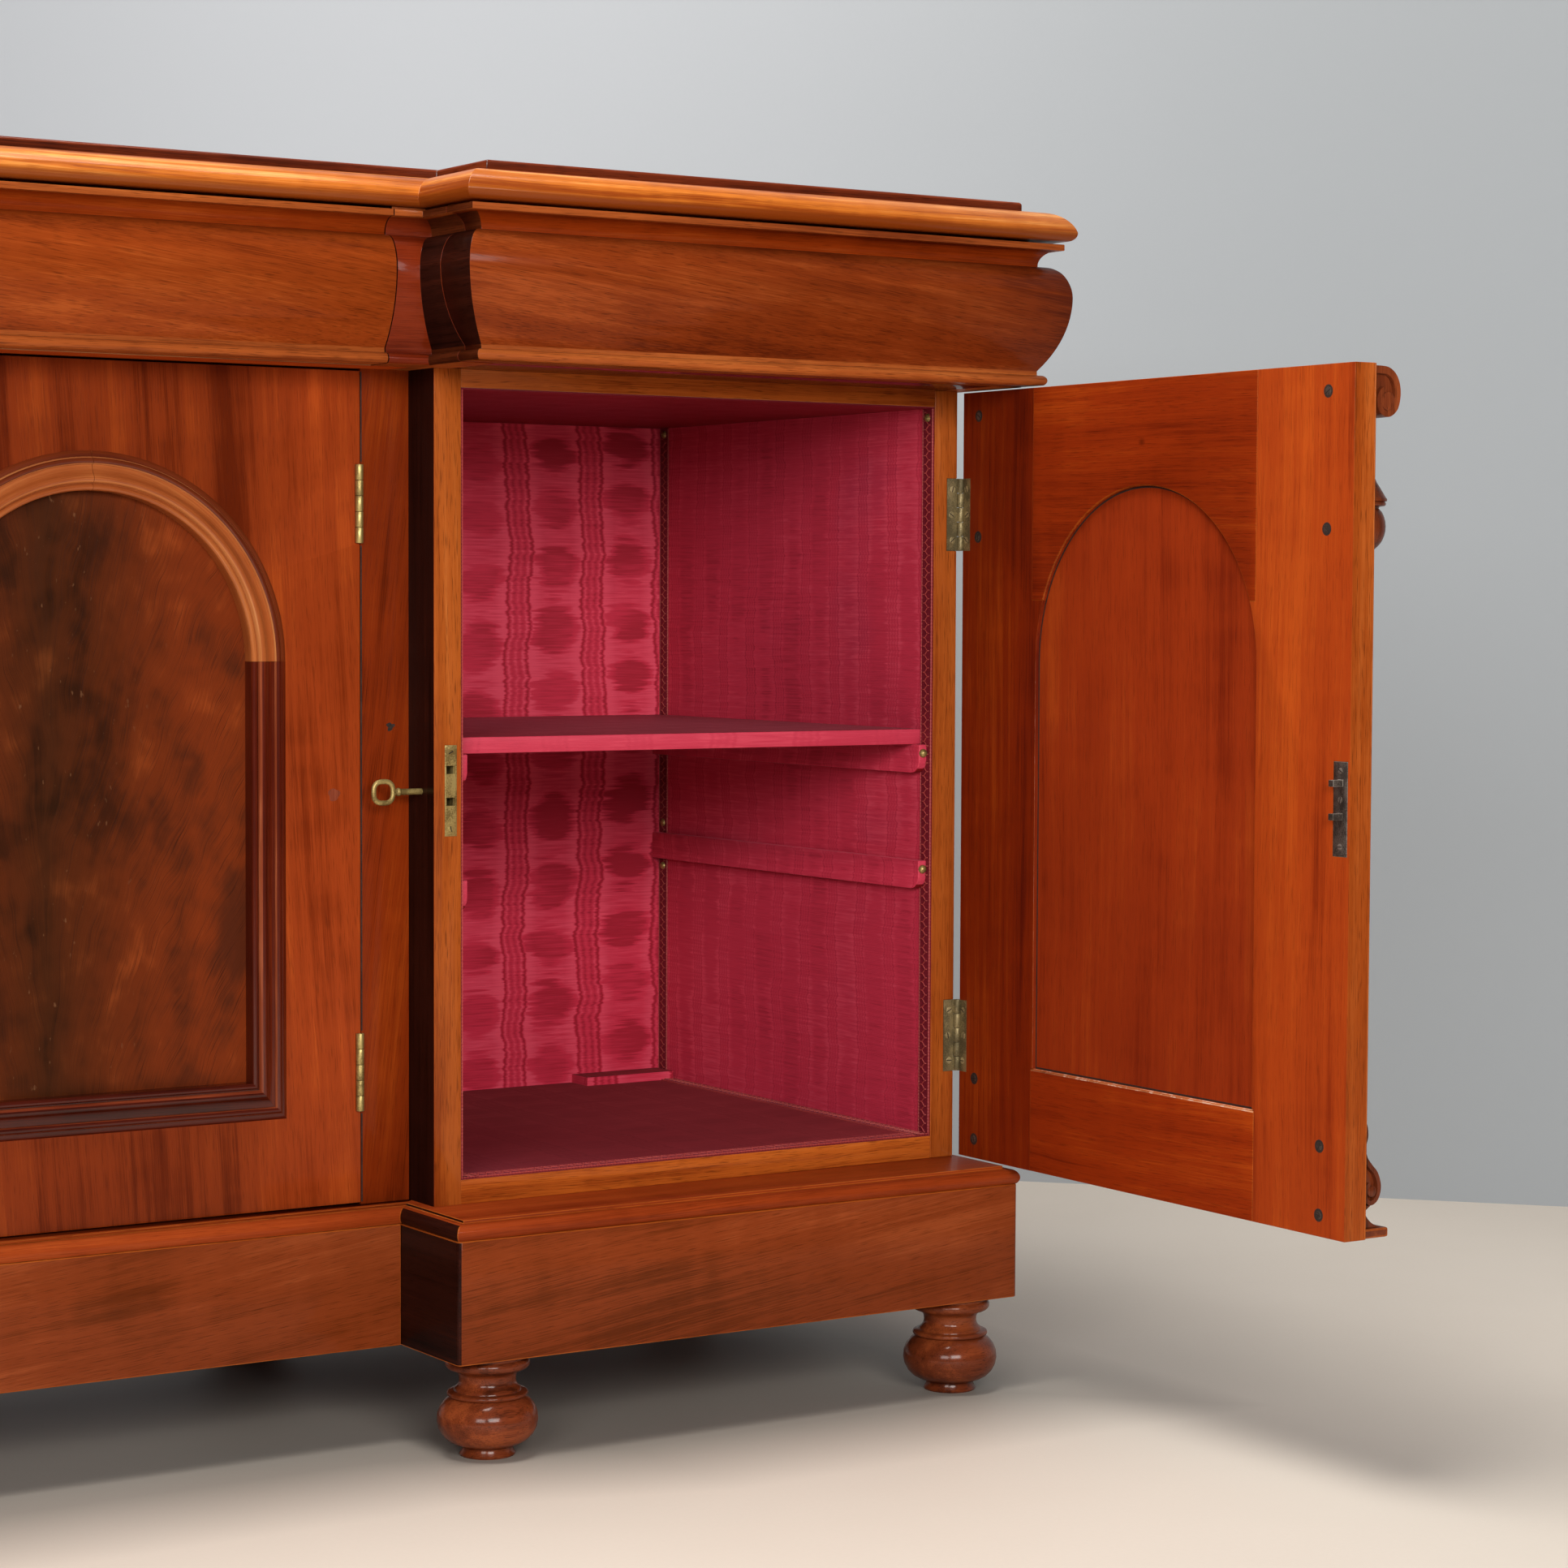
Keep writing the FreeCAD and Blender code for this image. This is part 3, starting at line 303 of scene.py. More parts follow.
# Watered silk: columns of dark ovals, where cos(across) + cos(along) is high, with four wavy
# dark lines between the columns. Noise drawn out along the weft gives the jagged edges.
def moire(name, **look):
    look = {**silkLook, **look}
    material, shader = newMaterial(name)
    grain, parts = grainOf()
    fine, coarse, drift, wobble, fade, slub, broad = (noise(grain, *layer) for layer in silkNoise.values())
    jag = (fine - 0.5) + (coarse - 0.5)
    sway = jag * look["jagShift"] + drift * look["driftShift"] + wobble * look["wobbleShift"]
    turn = (parts[0] + sway) / look["column"] + 0.4
    columns = cosine(turn)
    # Each column of ovals starts at a height of its own.
    own = wire("TexWhiteNoise", {"W": calc("ROUND", turn)}, noise_dimensions="1D")
    beads = cosine(parts[2] / look["drop"] + own * 0.8 + drift)
    oval = level(columns + beads + jag * look["ovalJag"], 0.15, 0.85) * level(fade, 0.35, 0.6, 0.5, 1.0)
    lines = (cosine(turn * look["lines"]) + jag * look["lineJag"]) * level(columns, -0.95, -0.65, 0.55, 1.35)
    fringe = level(columns, 0.4, -0.35, 0.0, 0.5)
    between = level(columns, -0.35, -0.6)
    wave = (0.75 + fringe - oval * look["ovalDepth"]) * (1.0 - between)
    wave = wave + (0.1 - lines * look["lineDepth"]) * between
    shade = wave * (look["waveShare"] * look["strength"]) + 0.5
    shade = shade + (slub - 0.5) * look["slubShare"] + (broad - 0.5) * look["broadShare"]
    weft = calc("SINE", parts[2] * look["weft"])
    surfaced(shader, weft * 0.6 + slub * 1.2, look["bump"], look["relief"], {
        "Base Color": ramp(shade, ((0.22, look["dark"]), (0.5, look["mid"]), (0.82, look["light"]))),
        "Roughness": level(shade, 0.2, 0.8, 0.58, 0.4), "Specular IOR Level": look["specular"],
        "Sheen Weight": look["sheen"], "Sheen Tint": look["sheenTint"]})
    return material


metalLook = {"pits": 0.5, "scratch": 0.6, "dulling": 0.25, "bump": 0.3, "relief": 0.0002}
metalNoise = {"patches": ((90, 90, 60), 5, 0.6), "pits": ((900, 900, 900),), "scratch": ((2600, 2600, 120),)}


# Old metal: bright where handled, darkened by a film in patches, with fine scratches and pits.
def oldMetal(name, bright, film, rough, share, metallic):
    material, shader = newMaterial(name)
    here = wire("TexCoord", (), "Object")
    patches, pits, scratch = (noise(here, *layer) for layer in metalNoise.values())
    look = metalLook
    amount = patches + (pits - 0.5) * look["pits"]
    surfaced(shader, pits + scratch * look["scratch"], look["bump"], look["relief"], {
        "Base Color": ramp(amount, ((share - 0.17, bright), (share + 0.12, film))),
        "Roughness": level(amount, 0.3, 0.7, rough, rough + look["dulling"]), "Metallic": metallic})
    return material


def tones(dark, mid, light, **look):
    return {"dark": dark, "mid": mid, "light": light, **look}


quiet = {"stripes": 0.2, "pores": 0.3}
veneer = {"fibres": 0.16, "pores": 0.3, "ripple": 0.1, "turn": (0, 3, 0), "bands": 26}
cushion = {"fibres": 0.26, "pores": 0.45, "bandStretch": 0.12, "turn": (0, 6, 0), "bands": 30}
polished = {"coat": 0.6, "bands": 40, "pores": 0.2}
highlightLines = {"coat": 0.4, "bands": 40, "pores": 0.1}
bare = {"coat": 0.05, "rough": 0.5, "specular": 0.1, "pores": 0.3}
woods = {
    "front": tones((0.12, 0.014, 0.002), (0.215, 0.031, 0.0055), (0.31, 0.052, 0.008), **veneer, stripes=0.2,
                   cloud=0.3),
    "frontCentre": tones((0.11, 0.013, 0.002), (0.215, 0.031, 0.0055), (0.31, 0.052, 0.008), **veneer,
                         stripes=0.24, cloud=0.4, glow=(0.33, 0.40, 0.95, 1.5)),
    "cove": tones((0.13, 0.014, 0.001), (0.26, 0.032, 0.003), (0.37, 0.064, 0.008), **quiet),
    # Painted light: a paler copy of the front wood for the plinth moulding, to make up for the shade it
    # stands in.
    "moulding": tones((0.16, 0.020, 0.003), (0.30, 0.044, 0.008), (0.42, 0.075, 0.014), **quiet),
    # Painted light: paler than the front wood, for the front edge of each wing's bottom, to stand for the
    # light it catches.
    "sill": tones((0.30, 0.055, 0.007), (0.50, 0.115, 0.014), (0.64, 0.18, 0.03), coat=0.2),
    "shade": tones((0.03, 0.006, 0.002), (0.085, 0.017, 0.005), (0.17, 0.036, 0.010)),
    "corner": tones((0.11, 0.010, 0.002), (0.195, 0.023, 0.005), (0.27, 0.045, 0.009), pores=0.3,
                    stripes=0.15),
    "stile": tones((0.08, 0.008, 0.001), (0.215, 0.025, 0.003), (0.32, 0.048, 0.005), stripes=0.18,
                   pores=0.25,
                   cloud=0.4, turn=(0, -6, 0)),
    "cushion": tones((0.14, 0.020, 0.003), (0.265, 0.043, 0.006), (0.38, 0.076, 0.012), **cushion,
                     bandShare=0.36,
                     stripes=0.24, cloud=0.3, stain=0.25),
    "cushionWing": tones((0.10, 0.014, 0.003), (0.205, 0.032, 0.005), (0.31, 0.060, 0.011), **cushion,
                         bandShare=0.4, stripes=0.2, cloud=0.55),
    "base": tones((0.115, 0.021, 0.004), (0.21, 0.038, 0.009), (0.30, 0.064, 0.017), turn=(0, -7, 0),
                  bandStretch=0.12, ripple=0.12, bandShare=0.42, stripes=0.2, pores=0.4, cloud=0.35),
    "thumb": tones((0.22, 0.040, 0.004), (0.46, 0.125, 0.014), (0.74, 0.30, 0.07), bandShare=0.4,
                   stripes=0.55,
                   coat=0.3, coatRough=0.22, under=0.9, pores=0.35),
    "bead": tones((0.18, 0.034, 0.008), (0.37, 0.084, 0.017), (0.52, 0.14, 0.03)),
    # Painted light and shade on the door mouldings: a lit copy of one polished wood for the arch, a shaded
    # copy for its legs and foot, and painted highlights for the thin lines on their crests.
    "archLit": tones((0.17, 0.032, 0.007), (0.39, 0.095, 0.022), (0.55, 0.17, 0.045), **polished,
                       stripes=0.15),
    "archLeg": tones((0.03, 0.003, 0.001), (0.078, 0.008, 0.0025), (0.15, 0.020, 0.005), coat=0.7,
                     coatRough=0.10,
                     bands=40, stripes=0.15, pores=0.2),
    "archBead": tones((0.05, 0.006, 0.002), (0.12, 0.017, 0.004), (0.20, 0.036, 0.009), **polished),
    "archHighlight": tones((0.36, 0.095, 0.024), (0.49, 0.16, 0.045), (0.62, 0.26, 0.09), **highlightLines),
    "legHighlight": tones((0.12, 0.018, 0.006), (0.23, 0.045, 0.016), (0.42, 0.12, 0.05), **highlightLines),
    "platform": tones((0.06, 0.010, 0.004), (0.15, 0.024, 0.007), (0.27, 0.05, 0.012)),
    "edge": tones((0.25, 0.045, 0.006), (0.40, 0.092, 0.013), (0.54, 0.155, 0.030), coat=0.2),
    "doorEdge": tones((0.18, 0.027, 0.003), (0.34, 0.062, 0.007), (0.46, 0.105, 0.017), coat=0.2, spots=0.9,
                      stripes=0.2),
    "dark": tones((0.008, 0.002, 0.001), (0.022, 0.005, 0.003), (0.05, 0.010, 0.005), rough=0.42),
    "inner": tones((0.22, 0.022, 0.003), (0.38, 0.050, 0.006), (0.49, 0.080, 0.009), **bare, stripes=0.22,
                   spots=0.8, bandShare=0.55, fibres=0.14),
    "innerRail": tones((0.13, 0.010, 0.001), (0.25, 0.024, 0.002), (0.36, 0.050, 0.004), **bare, stripes=0.16,
                       spots=0.8),
    "innerHinge": tones((0.10, 0.007, 0.001), (0.195, 0.017, 0.0012), (0.30, 0.040, 0.003), **bare,
                        spots=0.6),
    "innerPanel": tones((0.15, 0.012, 0.002), (0.28, 0.030, 0.0045), (0.38, 0.055, 0.007), **bare,
                        stripes=0.16,
                        spots=0.95, bandShare=0.3, fibres=0.12, bands=16, cloud=0.3),
    "worn": tones((0.20, 0.05, 0.02), (0.45, 0.16, 0.07), (0.6, 0.28, 0.15), chalk=0.85, coat=0.0, rough=0.6),
    "carved": tones((0.06, 0.012, 0.004), (0.17, 0.033, 0.010), (0.30, 0.065, 0.018), coat=0.45,
                    coatRough=0.14,
                    bands=40),
    "carcass": tones((0.22, 0.10, 0.04), (0.38, 0.20, 0.09), (0.50, 0.29, 0.14), coat=0.0, rough=0.65,
                     spots=0.7,
                     stain=0.15, pores=0.15),
    "plug": tones((0.12, 0.02, 0.010), (0.20, 0.04, 0.018), (0.27, 0.065, 0.032)),
}
silks = {
    "silk": {},
    "silkSide": tones((0.40, 0.018, 0.042), (0.58, 0.032, 0.072), (0.74, 0.075, 0.13), strength=0.5,
                      column=0.046,
                      drop=0.35),
    "silkFloorShade": tones((0.11, 0.010, 0.013), (0.165, 0.015, 0.020), (0.23, 0.027, 0.034), strength=0.35,
                       sheen=0.1),
    "silkShelfShade": tones((0.15, 0.007, 0.011), (0.23, 0.011, 0.017), (0.32, 0.02, 0.03), strength=0.35,
                       sheen=0.1),
    "silkFront": tones((0.43, 0.026, 0.055), (0.57, 0.040, 0.082), (0.72, 0.08, 0.13), strength=0.25),
    "silkCeilingShade": tones((0.14, 0.003, 0.005), (0.20, 0.005, 0.008), (0.28, 0.01, 0.015), strength=0.3,
                         sheen=0.0),
    "tape": tones((0.09, 0.003, 0.008), (0.16, 0.007, 0.016), (0.24, 0.014, 0.028), strength=0.0),
    "cord": tones((0.20, 0.016, 0.018), (0.36, 0.05, 0.045), (0.55, 0.17, 0.13), strength=0.0),
}
# Bright colour, film, least roughness, where the film begins and how metallic it looks
metals = {
    "brass": ((0.42, 0.31, 0.11), (0.16, 0.105, 0.03), 0.34, 0.55, 0.6),
    "hingeBrass": ((0.27, 0.21, 0.10), (0.12, 0.095, 0.045), 0.4, 0.5, 0.55),
    "screwBrass": ((0.46, 0.38, 0.2), (0.22, 0.17, 0.08), 0.35, 0.55, 0.55),
    "pinBrass": ((0.50, 0.38, 0.14), (0.22, 0.15, 0.05), 0.3, 0.6, 0.7),
    "iron": ((0.13, 0.105, 0.09), (0.04, 0.03, 0.025), 0.42, 0.5, 0.6),
    "steel": ((0.30, 0.27, 0.24), (0.10, 0.08, 0.06), 0.35, 0.55, 0.6),
    # No metal: a near-black for painted shade in screw slots, hole rims, gaps and joints, and for a dark knot
    # in a stile.
    "shadowAndKnot": ((0.03, 0.012, 0.006), (0.012, 0.005, 0.003), 0.7, 0.5, 0.0),
}
materials = {"flame": crotch("flameVeneer"), **{key: mahogany(key + "Wood", **look) for key,
                                                look in woods.items()},
             **{key: moire(key, **look) for key, look in silks.items()},
             **{key: oldMetal(key, *look) for key, look in metals.items()}}
print("stage: materials made")


# A chunk is (points in millimetres, list of face arrays, material number).
def gridFaces(rows, columns, closeRows=False, closeColumns=False):
    i = np.arange(rows if closeRows else rows - 1)[:, None]
    j = np.arange(columns if closeColumns else columns - 1)[None, :]
    near, far = i * columns, (i + 1) % rows * columns
    following = (j + 1) % columns
    return np.stack(np.broadcast_arrays(near + j, near + following, far + following, far + j), -1).reshape(-1,
                                                                                                           4)


def gridChunk(points, closeRows=False, closeColumns=False, caps=False, material=0):
    rows, columns = points.shape[:2]
    faces = [gridFaces(rows, columns, closeRows, closeColumns)]
    if caps:
        ring = np.arange(columns)
        faces += [ring[None, ::-1], ring[None] + (rows - 1) * columns]
    return points.reshape(-1, 3), faces, material


# An outline carried straight along one axis, closed at both ends.
def prism(outline, low, high, axis="y", material=0):
    outline = np.asarray(outline, float)
    rows = []
    for end in (low, high):
        column = np.full(len(outline), float(end))
        first, second = outline.T
        rows.append(np.stack({"x": (column, first, second), "y": (first, column, second),
                              "z": (first, second, column)}[axis], 1))
    return gridChunk(np.stack(rows), closeColumns=True, caps=True, material=material)


def block(xLow, xHigh, yLow, yHigh, zLow, zHigh, material=0):
    outline = ((xLow, zLow), (xHigh, zLow), (xHigh, zHigh), (xLow, zHigh))
    return prism(outline, yLow, yHigh, "y", material)


# Turned shape: point = (radius cos a, radius sin a, height), with one point at each end of the axis.
def lathe(profile, sides=24, material=0):
    profile = np.asarray(profile, float)
    angle = np.linspace(0, 2 * math.pi, sides, endpoint=False)
    radius, height = profile[1:-1, :1], profile[1:-1, 1:]
    body = np.stack(np.broadcast_arrays(radius * np.cos(angle), radius * np.sin(angle), height), -1)
    points = np.concatenate([body.reshape(-1, 3), [[0, 0, profile[0, 1]], [0, 0, profile[-1, 1]]]])
    rows = len(profile) - 2
    ring = np.arange(sides)
    following = (ring + 1) % sides
    first = np.stack([following, ring, np.full(sides, rows * sides)], 1)
    base = (rows - 1) * sides
    last = np.stack([base + ring, base + following, np.full(sides, rows * sides + 1)], 1)
    return points, [gridFaces(rows, sides, closeColumns=True), first, last], material


# A round section carried along a path: point = path + radius (first cos a + second sin a).
def tube(path, radius, first, second, sides, closed=False, material=0):
    path = np.asarray(path, float)
    angle = np.linspace(0, 2 * math.pi, sides, endpoint=False)[None, :, None]
    first, second = (np.broadcast_to(np.asarray(v, float), path.shape)[:, None, :] for v in (first, second))
    radius = np.broadcast_to(np.asarray(radius, float), (len(path),))[:, None, None]
    points = path[:, None, :] + radius * (first * np.cos(angle) + second * np.sin(angle))
    return gridChunk(points, closeRows=closed, closeColumns=True, caps=not closed, material=material)


# Moves a chunk made at the origin: its x, y and z go along the three given directions.
def moved(chunk, origin, axes=None):
    points, faces, material = chunk
    axes = np.eye(3) if axes is None else np.asarray(axes, float)
    return points @ axes + np.asarray(origin, float), faces, material


def meshFrom(name, chunks, surfaces, side):
    points, loops, totals, numbers, base = [], [], [], [], 0
    for chunkPoints, faces, material in chunks:
        points.append(chunkPoints)
        for group in faces:
            loops.append((group + base).ravel())
            totals.append(np.full(len(group), group.shape[1]))
            numbers.append(np.full(len(group), material))
        base += len(chunkPoints)
    points = place(np.concatenate(points) * np.array([side, 1, 1]))
    loops, totals, numbers = (np.concatenate(part) for part in (loops, totals, numbers))
    mesh = bpy.data.meshes.new(name)
    mesh.vertices.add(len(points))
    mesh.vertices.foreach_set("co", points.astype(np.float32).ravel())
    mesh.loops.add(len(loops))
    mesh.loops.foreach_set("vertex_index", loops.astype(np.int32))
    mesh.polygons.add(len(totals))
    mesh.polygons.foreach_set("loop_start", (np.cumsum(totals) - totals).astype(np.int32))
    mesh.polygons.foreach_set("material_index", numbers.astype(np.int32))
    mesh.update(calc_edges=True)
    for key in surfaces:
        mesh.materials.append(materials[key])
    return outward(mesh)


def outward(mesh):
    shape = bmesh.new()
    shape.from_mesh(mesh)
    bmesh.ops.recalc_face_normals(shape, faces=shape.faces)
    shape.to_mesh(mesh)
    shape.free()
    return mesh


def readOut(items, key, width=3):
    values = np.zeros(len(items) * width)
    items.foreach_get(key, values)
    return values.reshape(-1, width) if width > 1 else values


# Back from a mesh to the millimetres it was written in, as on the right-hand side.
def written(points, side):
    return (points - zero) / millimetre * np.array([side, 1, 1])


def cornerData(mesh):
    index = np.zeros(len(mesh.loops), int)
    mesh.loops.foreach_get("vertex_index", index)
    total = readOut(mesh.polygons, "loop_total", 1).astype(int)
    normal, middle = (np.repeat(readOut(mesh.polygons, key), total, 0) for key in ("normal", "center"))
    return readOut(mesh.vertices, "co")[index], normal, middle


def cornerAttribute(mesh, name, values):
    if name not in mesh.attributes:
        mesh.attributes.new(name, "FLOAT_VECTOR", "CORNER")
    mesh.attributes[name].data.foreach_set("vector", values.astype(np.float32).ravel())


pieceNumber = [0]
grainStep = np.array([0.37, 0.53, 1.19])  # each piece is cut from wood this far from the one before


# Writes the grain attribute. The grain runs along x, y or z; "auto" lets it follow a moulding
# round its corners, and "cloth" lays a width of silk flat on each face.
def setGrain(mesh, along, seed):
    corner, normal, middle = cornerData(mesh)
    x, y, z = corner.T
    ways = {"x": (z, y, x), "y": (z, x, y), "z": (x, y, z), "depth": (x, z, y), "turned": (y, x, z)}
    ways = {key: np.stack(value, 1) for key, value in ways.items()}
    size = np.abs(normal)
    sideways = (size[:, 0] > size[:, 1] + 0.02)[:, None]
    if along == "auto":
        grain = np.where(sideways, ways["y"], ways["x"])
    elif along == "cloth":
        grain = np.where((size[:, 2] > 0.7)[:, None], ways["depth"],
                         np.where(sideways, ways["turned"], ways["z"]))
    elif callable(along):
        grain = along(corner, normal, middle)
    else:
        grain = ways[along]
    pieceNumber[0] += 1
    cornerAttribute(mesh, "grain", grain + grainStep * (pieceNumber[0] if seed is None else seed))


def held(mesh, name="holder"):
    made = bpy.data.objects.new(name, mesh)
    bpy.context.scene.collection.objects.link(made)
    return made


# A mesh as one modifier leaves it
def modified(mesh, kind, **settings):
    holder = held(mesh)
    modifier = holder.modifiers.new(kind, kind)
    for key, value in settings.items():
        setattr(modifier, key, value)
    bpy.context.view_layer.update()
    done = bpy.data.meshes.new_from_object(holder.evaluated_get(bpy.context.evaluated_depsgraph_get()))
    bpy.data.objects.remove(holder)
    return done


# Sinks the given chunks into a mesh, one after the other.
def cutAway(mesh, chunks, side):
    for chunk in chunks:
        cutter = held(meshFrom("cutter", [chunk], (), side))
        mesh = modified(mesh, "BOOLEAN", object=cutter, solver="EXACT")
        bpy.data.objects.remove(cutter)
    return mesh


bevelAngle = math.radians(38)  # edges sharper than this are rounded


# Rounds the sharp edges of a mesh. A rim is (width, test, material number): the edges whose
# two ends pass the test are chamfered first, with a material of their own.
def bevelled(mesh, width, worn, rims, side):
    for rimWidth, test, number in rims:
        ends = np.zeros(len(mesh.edges) * 2, int)
        mesh.edges.foreach_get("vertices", ends)
        passed = test(written(readOut(mesh.vertices, "co"), side))[ends].reshape(-1, 2).all(1)
        if "bevel_weight_edge" not in mesh.attributes:
            mesh.attributes.new("bevel_weight_edge", "FLOAT", "EDGE")
        mesh.attributes["bevel_weight_edge"].data.foreach_set("value", passed.astype(np.float32))
        mesh = modified(mesh, "BEVEL", width=rimWidth * millimetre, segments=2, limit_method="WEIGHT",
                        material=number)
    return modified(mesh, "BEVEL", width=width * millimetre, segments=2, limit_method="ANGLE",
                    angle_limit=bevelAngle, harden_normals=True, material=worn)


# A zone is (material number, test of a face's middle in millimetres and its normal, both as on the right).
def paintZones(mesh, zones, side):
    middle = written(readOut(mesh.polygons, "center"), side)
    normal = readOut(mesh.polygons, "normal") * np.array([side, 1, 1])
    number = readOut(mesh.polygons, "material_index", 1).astype(np.int32)
    for index, test in zones:
        number[test(middle, normal)] = index
    mesh.polygons.foreach_set("material_index", number)


pin = place([wingHinge["x"], wingHinge["y"], 0])
openTurn = (Matrix.Translation(pin) @ Matrix.Rotation(math.radians(wingHinge["open"]), 4, "Z")
            @ Matrix.Translation(-pin))


# Makes a named piece of a mesh: edges rounded, grain laid on, then turned if its door is open.
def finished(name, mesh, body, slot, nodes, side=1, opened=False, bevel=0.0, along="z", sharp=32, worn=-1,
             rims=(), zones=(), seed=None, figure=None):
    if zones:
        paintZones(mesh, zones, side)
    mesh.polygons.foreach_set("use_smooth", np.ones(len(mesh.polygons), bool))
    if bevel:
        mesh = bevelled(mesh, bevel, worn, rims, side)
    else:
        mesh.set_sharp_from_angle(angle=math.radians(sharp))
        mesh.update()
    setGrain(mesh, along, seed)
    if figure:
        corner = written(cornerData(mesh)[0], side)
        cornerAttribute(mesh, "figure", (corner - np.array(figure)) * millimetre)
    if opened:
        mesh.transform(openTurn)
    made = held(mesh, name)
    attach(made, body)
    if nodes:
        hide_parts(*nodes)


def piece(name, chunks, surfaces, body, slot, nodes=(), side=1, *settings, cuts=(), **others):
    mesh = cutAway(meshFrom(name, chunks, surfaces, side), cuts, side)
    finished(name, mesh, body, slot, nodes, side, *settings, **others)


# A merged copy of a CAD node with its edges rounded, which stands for it.
def dressed(node, surfaces, along="auto", bevel=0.8, opened=False, **others):
    shape = bmesh.new()
    shape.from_mesh(frame["nodes"][node].data)
    bmesh.ops.remove_doubles(shape, verts=shape.verts, dist=1e-6)
    bmesh.ops.dissolve_limit(shape, angle_limit=0.002, verts=shape.verts, edges=shape.edges)
    mesh = bpy.data.meshes.new(node)
    shape.to_mesh(mesh)
    shape.free()
    if opened:
        mesh.transform(openTurn.inverted())
    mesh.materials.clear()
    for key in surfaces:
        mesh.materials.append(materials[key])
    finished(node + "_dressed", mesh, bodyOfNode[node], slotOfNode[node], (node,), opened=opened, bevel=bevel,
             along=along, **others)


shot = {"x": -827.5, "y": -2507.2, "z": 676.3, "yaw": 33.07, "pitch": 2.88, "roll": 0.26, "lens": 82.05}
yaw, pitch, roll = (math.radians(shot[key]) for key in ("yaw", "pitch", "roll"))
ahead = Vector((math.sin(yaw) * math.cos(pitch), math.cos(yaw) * math.cos(pitch), -math.sin(pitch)))
flatRight = Vector((math.cos(yaw), -math.sin(yaw), 0))
flatUp = flatRight.cross(ahead)
shotRight = math.cos(roll) * flatRight + math.sin(roll) * flatUp
shotUp = -math.sin(roll) * flatRight + math.cos(roll) * flatUp
camera = bpy.data.objects.new("camera", bpy.data.cameras.new("camera"))
camera.data.sensor_width = 36
camera.data.lens = shot["lens"]
position = Vector((shot["x"], shot["y"], shot["z"])) * millimetre
camera.matrix_world = Matrix.Translation(position) @ Matrix((shotRight, shotUp, -ahead)).transposed().to_4x4()
bpy.context.scene.collection.objects.link(camera)
bpy.context.scene.camera = camera


# Points of an arc through three points, the first left out.
def arcThrough(start, middle, end, steps):
    a, b, c = (np.asarray(p, float) for p in (start, middle, end))
    (abx, aby), (acx, acy) = b - a, c - a
    turn = 2 * (abx * acy - aby * acx)
    squareB, squareC = abx ** 2 + aby ** 2, acx ** 2 + acy ** 2
    centre = a + np.array([acy * squareB - aby * squareC, abx * squareC - acx * squareB]) / turn
    first, last = (math.atan2(*(p - centre)[::-1]) for p in (a, c))
    sweep = (last - first) % (2 * math.pi)
    if turn < 0:
        sweep -= 2 * math.pi
    angle = first + sweep * np.arange(1, steps + 1) / steps
    return centre + np.hypot(*(a - centre)) * np.stack([np.cos(angle), np.sin(angle)], 1)


# A profile is a list of steps: a pair is the next corner, and four values are an arc
# (a point on the way, then the end).
def profileOf(steps, count):
    line = [np.array([steps[0]], float)]
    for step in steps[1:]:
        last = line[-1][-1]
        line.append(arcThrough(last, step[:2], step[2:], count) if len(step) > 2 else np.array([step], float))
    return np.concatenate(line)


# A smooth line through points, by the Catmull-Rom formula.
def smoothLine(points, steps=5):
    points = np.asarray(points, float)
    padded = np.concatenate([2 * points[:1] - points[1:2], points, 2 * points[-1:] - points[-2:-1]])
    t = np.linspace(0, 1, steps, endpoint=False)[None, :, None]
    a, b, c, d = (padded[i:len(padded) - 3 + i, None, :] for i in range(4))
    line = 0.5 * (2 * b + (c - a) * t + (2 * a - 5 * b + 4 * c - d) * t ** 2
                  + (3 * b - a - 3 * c + d) * t ** 3)
    return np.concatenate([line.reshape(-1, points.shape[1]), points[-1:]])


screwLook = {"proud": 0.3, "slot": 0.8, "sides": 20}


# A countersunk screw with a slotted head, made along z: head, slot and the rim of its hole. The slot and the
# rim take the second material, a painted shade.
def screw(radius, turn, sunk):
    top = screwLook["proud"]
    head = lathe([(0, -0.6), (radius, -0.6), (radius, 0.1), (radius * 0.93, top * 0.6), (radius * 0.6, top),
                  (0, top)],
                 screwLook["sides"])
    width = screwLook["slot"] / 2
    slot = block(-radius * 0.9, radius * 0.9, -width, width, -0.3, top + 0.06, 1)
    c, s = math.cos(turn), math.sin(turn)
    slot = moved(slot, (0, 0, 0), ((c, s, 0), (-s, c, 0), (0, 0, 1)))
    parts = [head, slot]
    if sunk:
        parts.append(lathe([(0, -0.2), (radius * 1.5, -0.2), (radius * 1.5, 0.05), (radius * 1.2, 0.12),
                            (0, 0.12)],
                           screwLook["sides"], 1))
    return parts


# Ways to turn a piece made along z
toFront = ((1, 0, 0), (0, 0, 1), (0, -1, 0))
toBack = ((1, 0, 0), (0, 0, 1), (0, 1, 0))
toRight = ((0, 0, 1), (0, 1, 0), (1, 0, 0))
sides = {"right": 1, "left": -1}

